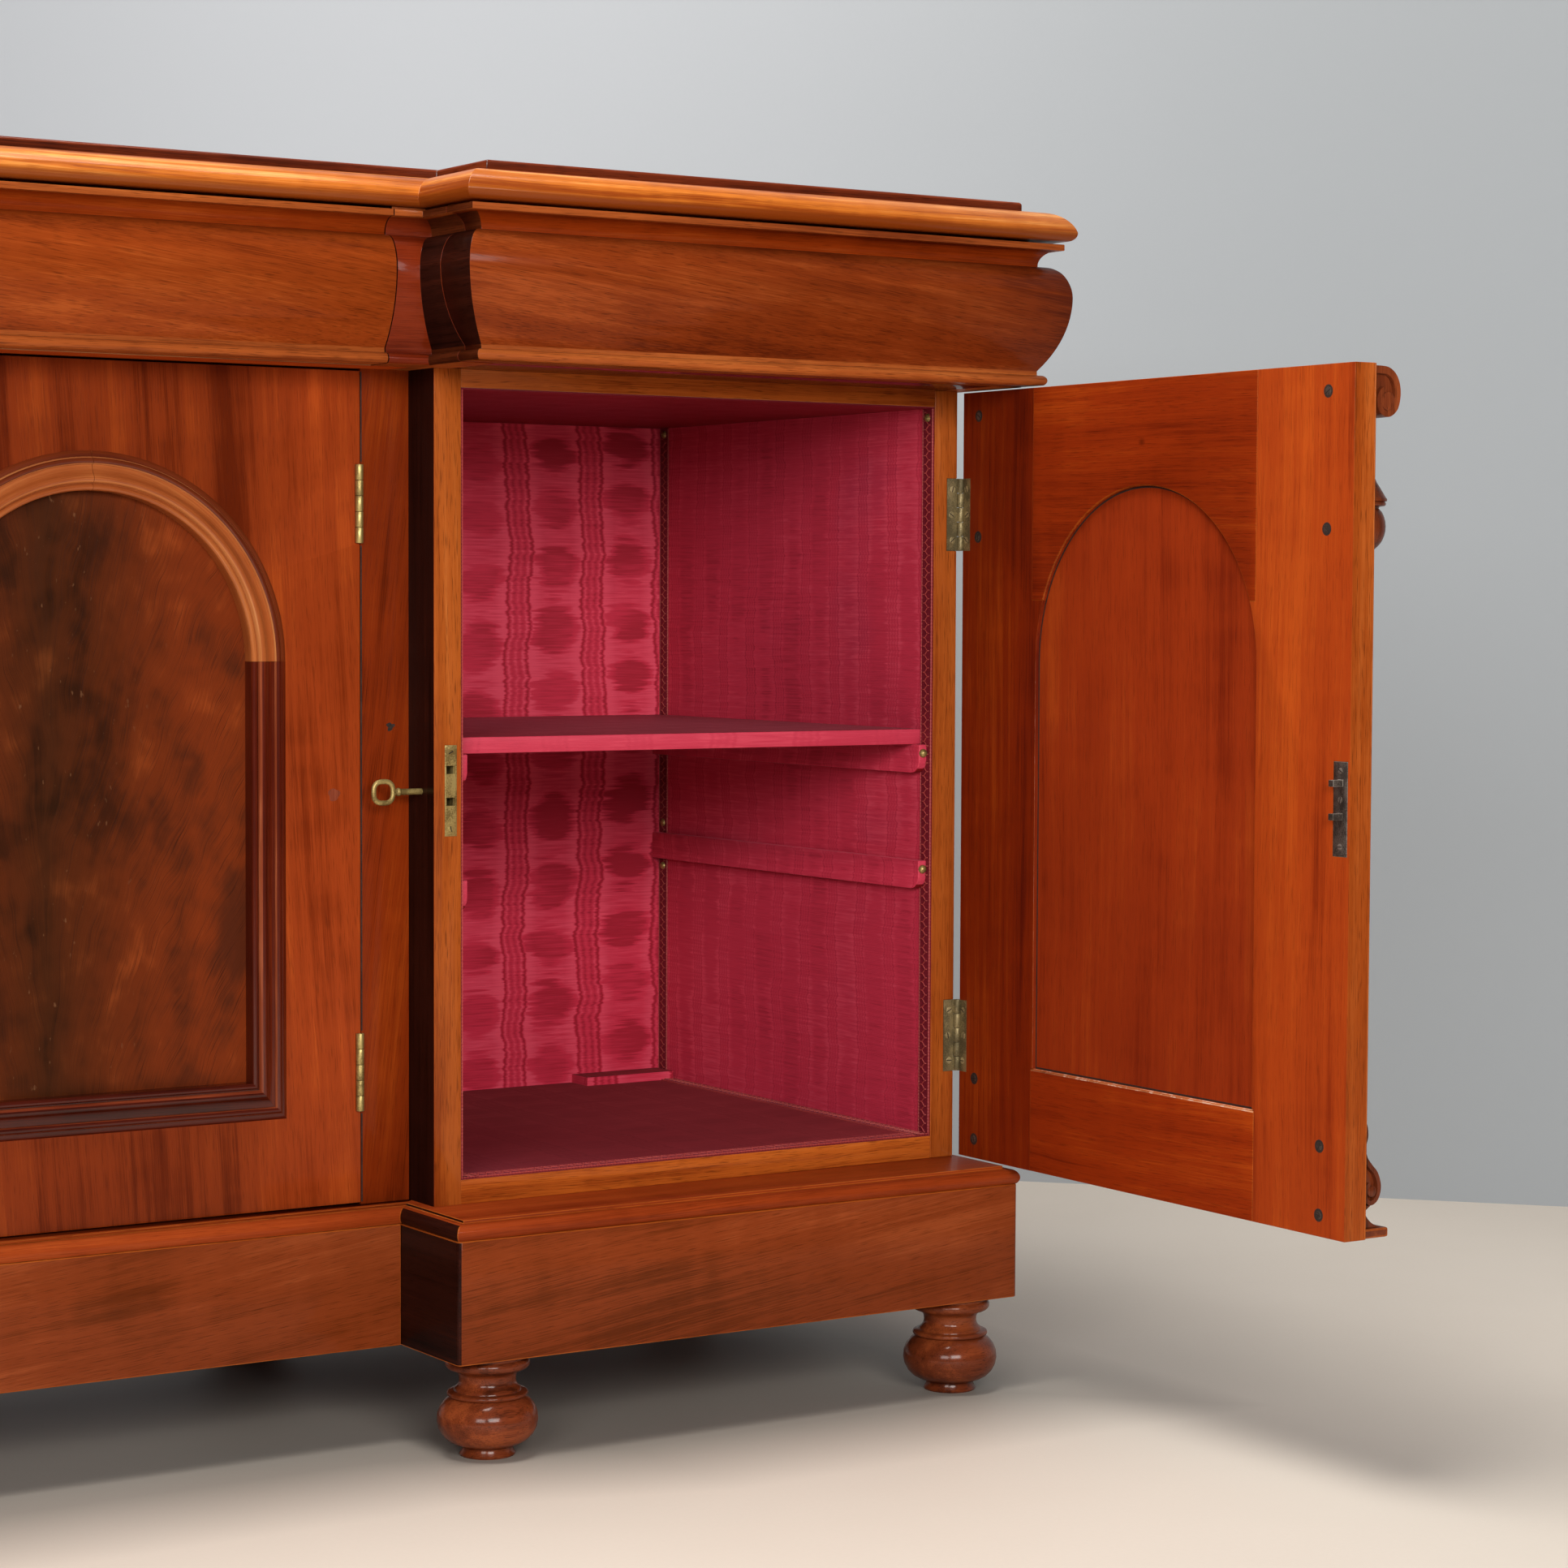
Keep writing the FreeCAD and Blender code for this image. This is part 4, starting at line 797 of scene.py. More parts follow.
arch = {"spring": 629.5, "opening": 143.8, "foot": 283.0, "haunch": 680.5, "bottom": 195.5, "top": 859.5,
        "mouldingFoot": 268.0, "mouldingReach": 161.0, "veneer": 1.5, "panelBack": 3.5, "panel": 9.0,
        "joint": 0.35, "gap": 1.5, "steps": 64, "outerBead": 151.4,
        "highlightLines": ((136.6, 138.0), (150.4, 151.5), (155.0, 156.2)), "tongue": 2.7}
wingDoor = {"kind": "wing", "middle": 755.0, "low": 500.5, "high": 1006.0, "face": -22.25, "inside": -0.75,
            "lowShoulder": 142.0, "highShoulder": 149.5}
centreDoor = {"kind": "centre", "middle": 226.8, "low": 0.6, "high": 453.0, "face": 44.0, "inside": 65.5,
              "lowShoulder": 146.5, "highShoulder": 146.5}
hingeHeights = (300.5, 754.5)
# A cut is how far out and how deep the cutter of a hinge's pocket goes, past the stile.
hingeLook = {"length": 62.5, "leaf": 1.6, "centrePin": (452.0, 42.5), "notch": 3.5, "wingLeaf": 995.5,
             "centreCut": (470, 19), "wingCut": (1020, 5)}
linkRecess = {"low": 503.4, "high": 519.4, "foot": 487.5, "top": 559.5}
archMoulding = profileOf([
    (130.8, -8.8), (130.8, 2.0), (131.6, 4.3, 133.6, 4.9), (135.2, 4.2, 135.6, 2.9), (136.4, 2.9),
    (136.9, 5.4),
    (139.4, 7.0, 142.2, 6.4), (146.0, 3.6, 150.6, 2.7), (150.8, 4.0), (153.4, 5.8, 156.0, 3.9), (156.4, 2.4),
    (159.0, 1.9, 161.0, 0.5), (161.0, -0.2), (143.8, -0.2), (143.8, -8.8)], 6)


def arcOf(middle, radius, first, last, count):
    angle = np.linspace(math.radians(first), math.radians(last), count)
    return np.stack([middle + radius * np.cos(angle), arch["spring"] + radius * np.sin(angle)], 1)


def archPath(middle, radius, foot):
    arc = arcOf(middle, radius, 180, 0, arch["steps"] + 1)
    return np.concatenate([[[middle - radius, foot]], arc, [[middle + radius, foot]]])


# The veneered front: a ring between the arched opening and the rectangle of the door.
def veneerRing(door):
    middle, spring = door["middle"], arch["spring"]
    corners = [math.atan2(arch["top"] - spring, door[end] - middle) for end in ("low", "high")]
    angle = np.sort(np.concatenate([np.linspace(math.pi, 0, 49), corners]))[::-1]
    c, s = np.cos(angle), np.sin(angle)
    edge = np.where(c > 0, door["high"] - middle, middle - door["low"])
    reach = np.minimum(edge / np.maximum(np.abs(c), 1e-9), (arch["top"] - spring) / np.maximum(s, 1e-9))
    inner = np.stack([middle + arch["opening"] * c, spring + arch["opening"] * s], 1)
    outer = np.stack([middle + reach * c, spring + reach * s], 1)
    foot = arch["foot"]
    inner = np.concatenate([[[middle - arch["opening"], foot]], inner, [[middle + arch["opening"], foot]]])
    outer = np.concatenate([[[door["low"], arch["bottom"]]], outer, [[door["high"], arch["bottom"]]]])
    front, back = door["face"], door["face"] + arch["veneer"]
    loops = [(outer, front), (inner, front), (inner, back), (outer, back)]
    points = np.stack([np.stack([loop[:, 0], np.full(len(loop), y), loop[:, 1]], 1) for loop, y in loops])
    return gridChunk(points, closeRows=True, closeColumns=True)


# Stiles and rails behind the veneer, as outlines in x and z.
def doorBoards(door):
    middle, radius, haunch = door["middle"], arch["opening"], arch["haunch"]
    lift = math.degrees(math.asin((haunch - arch["spring"]) / radius))
    reach = radius + arch["tongue"]
    boards = {}
    for end, sign, shoulder in (("low", -1, door["lowShoulder"]), ("high", 1, door["highShoulder"])):
        arc = arcOf(middle, radius, 0, lift, 10) if sign > 0 else arcOf(middle, radius, 180, 180 - lift, 10)
        edge, post = door[end], middle + sign * shoulder
        tail = [[post, haunch], [post, arch["top"]], [edge, arch["top"]], [edge, arch["bottom"]],
                [middle + sign * reach, arch["bottom"]], [middle + sign * reach, arch["foot"]],
                [middle + sign * radius, arch["foot"]]]
        boards["stile_" + end] = (np.concatenate([arc, tail]), "z")
    over = arcOf(middle, radius, 180 - lift, lift, 41)
    posts = [[middle + door["highShoulder"], haunch], [middle + door["highShoulder"], arch["top"]],
             [middle - door["lowShoulder"], arch["top"]], [middle - door["lowShoulder"], haunch]]
    boards["rail_top"] = (np.concatenate([over, posts]), "x")
    boards["rail_bottom"] = (np.array([[middle - reach, arch["bottom"]], [middle + reach, arch["bottom"]],
                                       [middle + reach, arch["foot"]], [middle - reach, arch["foot"]]]), "x")
    return boards


# The applied moulding, section carried round the arch, down two legs and along the foot.
def mouldingRuns(door):
    middle, face = door["middle"], door["face"]
    radius, proud = archMoulding.T
    foot = arch["mouldingFoot"] + arch["mouldingReach"] - radius
    gap = math.degrees(arch["joint"] / arch["opening"]) / 2
    runs = []
    # The arch takes material 0, a lit copy of the wood, and the legs and foot material 1, a shaded copy:
    # painted light and shade.
    for first, last in ((180 - gap, 90 + gap), (90 - gap, gap)):
        angle = np.radians(np.linspace(first, last, 33))[:, None]
        runs.append((middle + radius * np.cos(angle), arch["spring"] + radius * np.sin(angle), 0))
    for sign in (-1, 1):
        x = np.stack([middle + sign * radius] * 2)
        runs.append((x, np.stack([foot, np.full(len(radius), arch["spring"])]), 1))
    runs.append((np.stack([middle - radius, middle + radius]), np.stack([foot] * 2), 1))
    chunks = []
    for x, z, material in runs:
        y = np.broadcast_to(face - proud, x.shape)
        chunks.append(gridChunk(np.stack([x, y, z], -1), closeColumns=True, caps=True, material=material))
    return chunks


# Each moulding has a darker outer bead, and thin bright lines on its crests which are painted highlights.
def mouldingZones(middle):
    corner = arch["mouldingFoot"] + arch["mouldingReach"]

    def radius(m):
        x, z = np.abs(m[:, 0] - middle), m[:, 2]
        low = np.where(x + z < corner, corner - z, x)
        return np.where(z > arch["spring"], np.hypot(x, z - arch["spring"]), low)

    def highlightLines(m):
        r = radius(m)
        return np.any([(r > low) & (r < high) for low, high in arch["highlightLines"]], 0)

    over = (lambda m: m[:, 2] > arch["spring"])
    return [(2, lambda m, n: over(m) & (radius(m) > arch["outerBead"])),
            (3, lambda m, n: over(m) & highlightLines(m)), (4, lambda m, n: ~over(m) & highlightLines(m))]


def archGrain(side, middle):
    centre, spring = place([side * middle, 0, arch["spring"]])[[0, 2]]
    corner = (arch["mouldingFoot"] + arch["mouldingReach"]) * millimetre

    def grain(point, normal, face):
        x, z = point[:, 0] - centre, point[:, 2]
        radius = np.hypot(x, z - spring)
        around = np.arctan2(z - spring, np.abs(x)) * arch["opening"] * millimetre
        bent = np.stack([radius, point[:, 1], around], 1)
        leg = np.stack([np.abs(x), point[:, 1], z], 1)
        foot = np.stack([-z, point[:, 1], x], 1)
        low = face[:, 2] + np.abs(face[:, 0] - centre) < corner
        return np.where((face[:, 2] > spring)[:, None], bent, np.where(low[:, None], foot, leg))

    return grain


# The inner edge of a door's opening: the worn leg and foot, or the arc and the other leg.
def onRim(door, low, near=0.1):
    middle, radius, spring, foot = door["middle"], arch["opening"], arch["spring"], arch["foot"]

    def test(p):
        x, z = p[:, 0] - middle, p[:, 2]
        upright = (z < spring + near) & (z > foot - near)
        leg, other = ((np.abs(x - edge) < near) & upright for edge in (radius, -radius))
        sill = (np.abs(z - foot) < near) & (np.abs(x) < radius + 3)
        arc = (np.abs(np.hypot(x, z - spring) - radius) < near) & (z > spring - near)
        return (np.abs(p[:, 1] - door["inside"]) < near / 2) & ((leg | sill) if low else (arc | other))

    return test


def makeDoor(door, sideName, opened=False):
    kind, side = door["kind"], sides[sideName]
    centre = kind == "centre"
    label, body = f"{kind}_{sideName}", f"{kind}_door_{sideName}"
    face, inside, middle = door["face"], door["inside"], door["middle"]
    back, half, leaf = inside - arch["panelBack"], hingeLook["length"] / 2, hingeLook["leaf"]
    cutDepth = hingeLook["wingCut"][1]

    def add(name, chunks, surfaces, *settings, nodes=("door_frame_" + label,), slot="mahogany", **others):
        piece(f"{name}_{label}", chunks, surfaces, body, slot, nodes, side, opened, *settings, **others)

    pockets = []
    for height in hingeHeights:
        ends = (height - half, height + half)
        if centre:
            pinX, pinY = hingeLook["centrePin"]
            barrel = lathe([(0, -half), (hingeLook["notch"], -half), (hingeLook["notch"], half), (0, half)],
                           24)
            pockets += [moved(barrel, (pinX, pinY, height)),
                        block(door["high"] - leaf, hingeLook["centreCut"][0], pinY,
                              pinY + hingeLook["centreCut"][1], *ends)]
        else:
            pockets.append(block(hingeLook["wingLeaf"], hingeLook["wingCut"][0], inside - leaf, cutDepth,
                                 *ends))
    # Painted shade in the joint beside the stile: the centre door's edge there is chamfered in near-black.
    seam = (lambda p: (np.abs(p[:, 0] - door["high"]) < 0.05) & (np.abs(p[:, 1] - face) < 0.05))
    add("veneer", [veneerRing(door)], ("frontCentre" if centre else "front", "edge", "shadowAndKnot"), 0.7, "z",
        worn=1,
        cuts=pockets if centre else (), seed=3 if side > 0 else 4, rims=[(0.8, seam, 2)] if centre else ())
    recess = block(linkRecess["low"], linkRecess["high"], inside - leaf, cutDepth, linkRecess["foot"],
                   linkRecess["top"])
    cuts = {"stile_high": pockets, "stile_low": () if centre else (recess,)}
    looks = {"stile_low": "inner", "stile_high": "innerHinge"}
    outer = [(2, lambda m, n: (m[:, 0] < door["low"] + 1) & (n[:, 0] < -0.9))]
    rims = [(1.9, onRim(door, True), 1), (1.1, onRim(door, False), 2)]
    for name, (outline, along) in doorBoards(door).items():
        add(name, [prism(outline, face + arch["veneer"], inside)],
            (looks.get(name, "innerRail"), "worn", "doorEdge"), 0.4, along, worn=2, cuts=cuts.get(name, ()),
            zones=outer, rims=rims)
    panel = prism(archPath(middle, arch["opening"] - 0.2, arch["foot"] + 0.2), back - arch["panel"], back)
    add("panel", [panel], ("innerPanel", "flame"), nodes=("door_panel_" + label,), slot="figured_mahogany",
        zones=[(1, lambda m, n: n[:, 1] < -0.9)], figure=(middle, 0, arch["foot"]))
    # Painted shade: a thin near-black ring round the panel, where it steps down from the frame.
    rings = [archPath(middle, arch["opening"] - r, arch["foot"] + r) for r in (0.1, arch["gap"])]
    line = np.stack([np.stack([rings[ring][:, 0], np.full(len(rings[ring]), back + lift), rings[ring][:, 1]],
                              1)
                     for ring, lift in ((0, -0.2), (0, 0.06), (1, 0.06), (1, -0.2))])
    add("panel_gap", [gridChunk(line, closeRows=True, closeColumns=True)], ("shadowAndKnot",), nodes=(),
        slot="figured_mahogany")
    add("moulding", mouldingRuns(door), ("archLit", "archLeg", "archBead", "archHighlight", "legHighlight"),
        along=archGrain(side, middle), sharp=40, zones=mouldingZones(middle))


for name in sides:
    makeDoor(wingDoor, name, name == "right")
    makeDoor(centreDoor, name)
print("stage: doors made")


# An eye is the scroll's middle as (out, height) and its radius.
consoleLook = {"offset": 26.0, "half": 20.0, "web": 16.0, "axis": 10.5, "sides": 40, "slab": 24.0,
               "slabDepth": 24.4, "slabHeight": 7.5, "corbelThick": (6.0, 4.0),
               "corbelEye": (17.5, -28.0, 7.0),
               "scrollThick": (4.2, 3.2), "scrollEye": (11.2, 35.4, 4.4), "eyeInset": 0.4}
corbelRibbon = smoothLine([(-0.5, -4.6), (9, -4.3), (17.0, -5.2), (23.0, -9.4), (26.3, -16.4), (26.7, -25.0),
                           (24.2, -33.0), (18.0, -37.4), (11.6, -35.8), (8.2, -29.8), (9.2, -23.2),
                           (13.6, -18.9)])
corbelWeb = np.array([(-0.2, -3.5), (17, -5), (25, -14), (25, -30), (18, -37), (9, -37.5), (-0.2, -33.5)])
scrollRibbon = smoothLine([(0.6, 91), (3.8, 85), (4.4, 77.5), (2.4, 69.5), (4.4, 61), (9.6, 54.5),
                           (15.2, 48.2),
                           (18.2, 38.5), (15.6, 29.6), (9.6, 26.4), (4.8, 30.4), (5.0, 37.4), (8.6, 41)])
scrollWeb = np.array([(-0.2, 90), (3, 84), (3.6, 77), (1.8, 69), (4, 61), (9.6, 54), (15, 47.6), (17.4, 38),
                      (14, 28),
                      (8, 25.2), (-0.2, 25)])
scrollFoot = profileOf([(-0.2, 25), (9.5, 24.6), (3.4, 20.4), (9.0, 12.6, 22.4, 7.6), (-0.2, 7.6)], 10)
pendantProfile = profileOf([
    (0, -73.5), (4.4, -73.7), (5.4, -75.5), (8.2, -83.5, 10.6, -89.0), (14.6, -95.4, 17.4, -100.2),
    (18.5, -101.6),
    (18.3, -103.0), (16.6, -103.6), (17.6, -105.2, 16.0, -106.8), (12.6, -107.4), (12.2, -108.6),
    (14.6, -111.2), (17.6, -122.5, 15.0, -133.0), (10.4, -138.6, 5.0, -142.0), (4.4, -143.4),
    (6.2, -149.5, 3.6, -154.8), (0, -155.8)], 6)


# A flat band following a line in (out, height), as thick as given and as wide as the console.
def ribbon(line, half, thick, base, middle, face):
    along = np.gradient(line, axis=0)
    along /= np.linalg.norm(along, axis=1)[:, None]
    across = np.stack([-along[:, 1], along[:, 0]], 1)
    thick = np.linspace(*thick, len(line))[:, None] / 2
    crown = np.linspace(-1, 1, 7)
    low, high = line - across * thick, line + across * thick
    rows = []
    for edge, bulge in ((high, 0.5), (low, 0.0)):
        x = crown * half if edge is high else crown[::-1] * half
        lift = (1 - x ** 2 / half ** 2)[None, :, None] * bulge * across[:, None, :]
        spot = edge[:, None, :] + lift
        rows.append(np.stack([np.broadcast_to(middle + x, spot.shape[:2]), face - spot[..., 0],
                              base + spot[..., 1]], -1))
    return gridChunk(np.concatenate(rows, 1), closeColumns=True, caps=True)


def webOf(line, half, middle, face, base):
    outline = np.stack([face - line[:, 0], base + line[:, 1]], 1)
    return prism(outline, middle - half, middle + half, "x")


def disc(out, height, radius, half, middle, face, base):
    profile = [(0, -half - 0.8), (radius * 0.7, -half - 0.5), (radius, -half), (radius, half),
               (radius * 0.7, half + 0.5), (0, half + 0.8)]
    return moved(lathe(profile, 20), (middle, face - out, base + height), toRight)


def makeConsoles(sideName, opened):
    side, face, top, bottom = sides[sideName], wingDoor["face"], arch["top"], arch["bottom"]
    look, half, slab = consoleLook, consoleLook["half"], consoleLook["slab"]
    eye, offset = half - look["eyeInset"], look["offset"]
    for end, middle in (("inner", wingDoor["low"] + offset), ("outer", wingDoor["high"] - offset)):
        corbel = [ribbon(corbelRibbon, half, look["corbelThick"], top, middle, face),
                  webOf(corbelWeb, look["web"], middle, face, top),
                  disc(*look["corbelEye"], eye, middle, face, top)]
        pendant = moved(lathe(pendantProfile, look["sides"]), (middle, face - look["axis"], top))
        scroll = [ribbon(scrollRibbon, half, look["scrollThick"], bottom, middle, face),
                  webOf(scrollWeb, look["web"], middle, face, bottom),
                  disc(*look["scrollEye"], eye, middle, face, bottom),
                  webOf(scrollFoot, half, middle, face, bottom)]
        foot = block(middle - slab, middle + slab, face - look["slabDepth"], face + 0.1, bottom + 0.05,
                     bottom + look["slabHeight"])
        for key, chunks, surfaces, settings in (
                ("corbel", corbel, ("carved",), {"sharp": 38}),
                ("pendant", [pendant], ("carved",), {"sharp": 50}),
                ("scroll", scroll, ("carved",), {"sharp": 38}),
                ("slab", [foot], ("carved", "bead"), {"bevel": 1.6, "along": "x", "worn": 1})):
            piece(f"{key}_{end}_{sideName}", chunks, surfaces, f"wing_door_{sideName}", "mahogany",
                  (f"consoles_{sideName}",), side, opened, **settings)


makeConsoles("right", True)
makeConsoles("left", False)
print("stage: consoles made")


# Ironmongery. Screws that face the back are on the wing doors, those that face the front on the carcass.
leafScrews = [(x, h + z) for h in hingeHeights for x, z in ((1001.5, 22), (1000.2, 0), (1001.5, -22))]
screws = {
    "leaf": {"at": leafScrews, "way": toBack, "radius": 2.9, "look": "screwBrass", "slot": "brass"},
    "post": {"at": leafScrews, "way": toFront, "radius": 2.9, "look": "screwBrass", "slot": "brass"},
    "console": {"at": [(x, z) for x in (983.5, 530.5) for z in (839, 735, 265, 212)], "way": toBack,
                "radius": 3.4,
                "look": "iron", "slot": "iron", "sunk": True},
    "link": {"at": [(511.4, z) for z in (552.5, 530.6, 495)], "way": toBack, "radius": 2.5, "look": "steel",
             "slot": "iron"},
    "lock": {"at": [(511.4, z) for z in (557.2, 496.2)], "way": toFront, "radius": 2.4, "look": "brass",
             "slot": "brass"},
}
for name, side in sides.items():
    opened = name == "right"
    dressed(f"hinge_leaves_wing_{name}", ("hingeBrass",), "z", 0.15, opened, side=side)
    dressed(f"hinge_leaves_centre_{name}", ("pinBrass",), "z", 0.15, side=side)
    dressed(f"link_plate_{name}", ("iron", "steel"), "z", 0.3, opened, worn=1, side=side)
    for key, row in screws.items():
        onDoor = row["way"] is toBack
        chunks = []
        for index, (x, z) in enumerate(row["at"]):
            parts = screw(row["radius"], 0.5 + 1.3 * index, row.get("sunk"))
            spot = (x, wingDoor["inside"] if onDoor else 0.0, z)
            chunks += [moved(part, spot, row["way"]) for part in parts]
        piece(f"{key}_screws_{name}", chunks, (row["look"], "shadowAndKnot"),
              f"wing_door_{name}" if onDoor else "cabinet",
              row["slot"], (), side, onDoor and opened)
dressed("hinge_leaves_fixed", ("hingeBrass", "pinBrass"), "z", 0.15,
        zones=[(1, lambda m, n: np.abs(m[:, 0]) < 600)])
dressed("locks", ("brass",), "z", 0.25)
dressed("bolt", ("steel",), "z", 0.2)

keyLook = {"bow": 8.5, "wire": 2.1, "square": 2.8, "axis": (462.5, 21.7, 525.6), "collar": 3.4, "shank": 2.5,
           "end": 514.0, "points": 48}


# The bow is a ring between a circle and a square: radius = bow / (|cos|^n + |sin|^n)^(1/n).
def makeKey():
    n, count = keyLook["square"], keyLook["points"]
    angle = np.linspace(0, 2 * math.pi, count, endpoint=False)
    radius = keyLook["bow"] / (np.abs(np.cos(angle)) ** n + np.abs(np.sin(angle)) ** n) ** (1 / n)
    x, z = radius * np.cos(angle), radius * np.sin(angle)
    path = np.stack([x, np.zeros(count), z], 1)
    along = np.roll(path, -1, 0) - np.roll(path, 1, 0)
    along /= np.linalg.norm(along, axis=1)[:, None]
    out = np.stack([along[:, 2], np.zeros(count), -along[:, 0]], 1)
    bow = tube(path, keyLook["wire"], out, (0, 0.8, 0), 12, closed=True)
    reach = keyLook["end"] - keyLook["axis"][0]
    start, r, c = keyLook["bow"] + 1.2, keyLook["shank"], keyLook["collar"]
    profile = [(0, start), (r, start), (r, start + 1.6), (c * 0.8, start + 1.8), (c, start + 2.8),
               (c, start + 4.2), (c * 0.8, start + 5), (r, start + 5.2), (r, reach - 0.4), (r * 0.8, reach),
               (0, reach)]
    shank = moved(lathe(profile, 24), (0, 0, 0), toRight)
    bit = block(47.3, 50.5, -1.3, 1.3, -8.2, 0)
    chunks = [moved(part, keyLook["axis"]) for part in (bow, shank, bit)]
    piece("turned_key", chunks, ("brass",), "key", "brass", ("key",), sharp=40)


makeKey()
print("stage: ironmongery made")


# Carcasses, base, frieze and top take their forms from the CAD nodes.
def towardsMiddle(m, n):
    return (np.abs(m[:, 0]) < 512) & (n[:, 0] * np.sign(m[:, 0]) < -0.3)


def between(low, high):
    return lambda m, n: (m[:, 2] > low) & (m[:, 2] < high)


friezeHeights = {"foot": 860, "cushion": 873.5, "bead": 961.4, "upperBead": 974.6, "top": 983}
onCushion = between(friezeHeights["cushion"], friezeHeights["bead"])
friezeZones = [(1, between(friezeHeights["foot"], friezeHeights["cushion"])), (2, onCushion),
               (1, between(friezeHeights["upperBead"], friezeHeights["top"])), (4, towardsMiddle),
               (3, lambda m, n: towardsMiddle(m, n) & onCushion(m, n))]
overCentre = (lambda m, n: (np.abs(m[:, 0]) < 497) & between(862, 974)(m, n) & ~towardsMiddle(m, n))
inFront = (lambda m, n: (n[:, 1] < -0.9) & (m[:, 1] < 1))
returnBoard = (496.25, 496.6, 0.7, 43.9, 194.1, 861.4)  # dark face of the inner side beside the centre doors
for name, side in sides.items():
    for node in (f"frieze_corner_{name}", f"frieze_side_{name}", f"drawer_front_{name}"):
        dressed(node, ("cove", "bead", "cushionWing", "dark", "shade", "corner"), "auto", 0.55,
                zones=friezeZones + [(5, overCentre)], seed=20 if side > 0 else 21, side=side)
    dressed(f"drawer_box_{name}", ("carcass",), "auto", 0.8)
    dressed(f"plinth_{name}", ("base", "dark", "edge"), "auto", 0.9, zones=[(1, towardsMiddle)], worn=2)
    dressed(f"side_outer_{name}", ("front", "edge"), "z", 0.8, zones=[(1, inFront)], worn=1)
    dressed(f"side_inner_{name}", ("inner", "edge"), "z", 0.8, zones=[(1, inFront)], worn=1)
    piece(f"return_{name}", [block(*returnBoard)], ("dark",), "cabinet", "mahogany", (f"side_inner_{name}",),
          side)
    # Painted light: the front edge of the bottom takes the paler sill wood.
    dressed(f"bottom_{name}", ("carcass", "sill"), "x", 0.6, zones=[(1, inFront)], worn=1)
    # Painted shade: the underside of the ceiling's front edge, under the frieze, takes the darker archLeg
    # wood.
    dressed(f"ceiling_{name}", ("carcass", "edge", "archLeg"), "x", 0.6,
            zones=[(1, inFront), (2, lambda m, n: (n[:, 2] < -0.9) & (m[:, 2] > 855))])
dressed("drawer_front_centre", ("cove", "bead", "cushion", "dark", "shade"), "auto", 0.55, zones=friezeZones,
        seed=23)
dressed("drawer_box_centre", ("carcass",), "auto", 0.8)
dressed("plinth_centre", ("base", "edge"), "x", 0.9, worn=1)
dressed("plinth_moulding", ("moulding", "dark", "edge"), "auto", 0.5, zones=[(1, towardsMiddle)], worn=2)
dressed("top", ("thumb", "platform"), "auto", 0.5, zones=[(1, lambda m, n: n[:, 2] > 0.99)])
dressed("top_platform", ("platform", "archLeg"), "auto", 0.7, worn=1)
# Painted shade: the centre stiles' rounded edges are near-black, for the shade in the joints beside the
# doors.
dressed("stiles_centre", ("stile", "dark"), "z", 0.7, worn=1)
dressed("bottom_centre", ("carcass",), "x", 0.8)
dressed("ceiling_centre", ("carcass", "inner"), "x", 0.8, zones=[(1, lambda m, n: m[:, 2] < 870)])
dressed("shelf_centre", ("carcass", "inner"), "x", 1.2, worn=1)
print("stage: carcass dressed")

backLook = {"near": 458.0, "far": 470.0, "foot": 194.0, "soffit": 861.5, "top": 982.5}


# Boards fill low to high, and upperLow to low and high to upperHigh above the soffit. A board is notched
# where the frieze's corner piece reaches the back, beyond x = notch.
def makeBack(node, low, high, upperLow, upperHigh, count, notch=2000.0):
    edges = np.linspace(low, high, count + 1)
    foot, ledge, top = backLook["foot"], backLook["soffit"] - 0.2, backLook["top"]
    chunks = []
    for a, b in zip(edges[:-1] + 0.25, edges[1:] - 0.25):
        rightSide = [(b, ledge), (notch, ledge), (notch, top)] if b > notch else [(b, top)]
        leftSide = [(-notch, top), (-notch, ledge), (a, ledge)] if a < -notch else [(a, top)]
        chunks.append(prism([(a, foot), (b, foot)] + rightSide + leftSide, backLook["near"], backLook["far"]))
    for a, b in ((upperLow, low), (high, upperHigh)):
        if b > a:
            chunks.append(block(a, b - 0.2, backLook["near"], backLook["far"], backLook["soffit"],
                                backLook["top"]))
    for index, chunk in enumerate(chunks):
        piece(f"{node}_board_{index}", [chunk], ("carcass",), "cabinet", slotOfNode[node], (node,), bevel=1.3)


makeBack("back_right", 520.5, 982.0, 511.5, 991.0, 5)
makeBack("back_left", -982.0, -520.5, -991.0, -511.5, 5)
makeBack("back_centre", -496.5, 496.5, 0, -500, 9, 479.7)

footProfile = profileOf([
    (0, 0), (21.8, 0), (22.5, 1.2), (20.6, 4.6, 19.8, 7.6), (21.4, 8.6), (40.4, 29.6, 29.0, 47.4),
    (30.8, 47.6),
    (32.3, 49.2, 31.0, 51.4), (27.0, 52.0), (26.4, 54.0), (22.9, 58.6, 22.7, 62.0), (23.8, 66.0, 28.4, 69.2),
    (30.6, 69.4), (33.8, 73.6, 32.2, 77.6), (31.4, 78.2), (31.8, 81), (0, 81)], 9)
footSpots = {"foot_front_inner": (522.5, -41), "foot_front_outer": (975, -41)}
for name, side in sides.items():
    for node, (x, y) in footSpots.items():
        piece(f"{node}_{name}_turned", [moved(lathe(footProfile, 56), (x, y, 0))], ("carved",), "cabinet",
              "mahogany", (f"{node}_{name}",), side, along="x", sharp=45)
backFeet = [moved(lathe(footProfile, 40), (x, 410, 0)) for x in (-975, -522.5, 522.5, 975)]
piece("feet_back_turned", backFeet, ("carved",), "cabinet", "mahogany", ("feet_back",), along="x", sharp=45)
print("stage: backs and feet made")


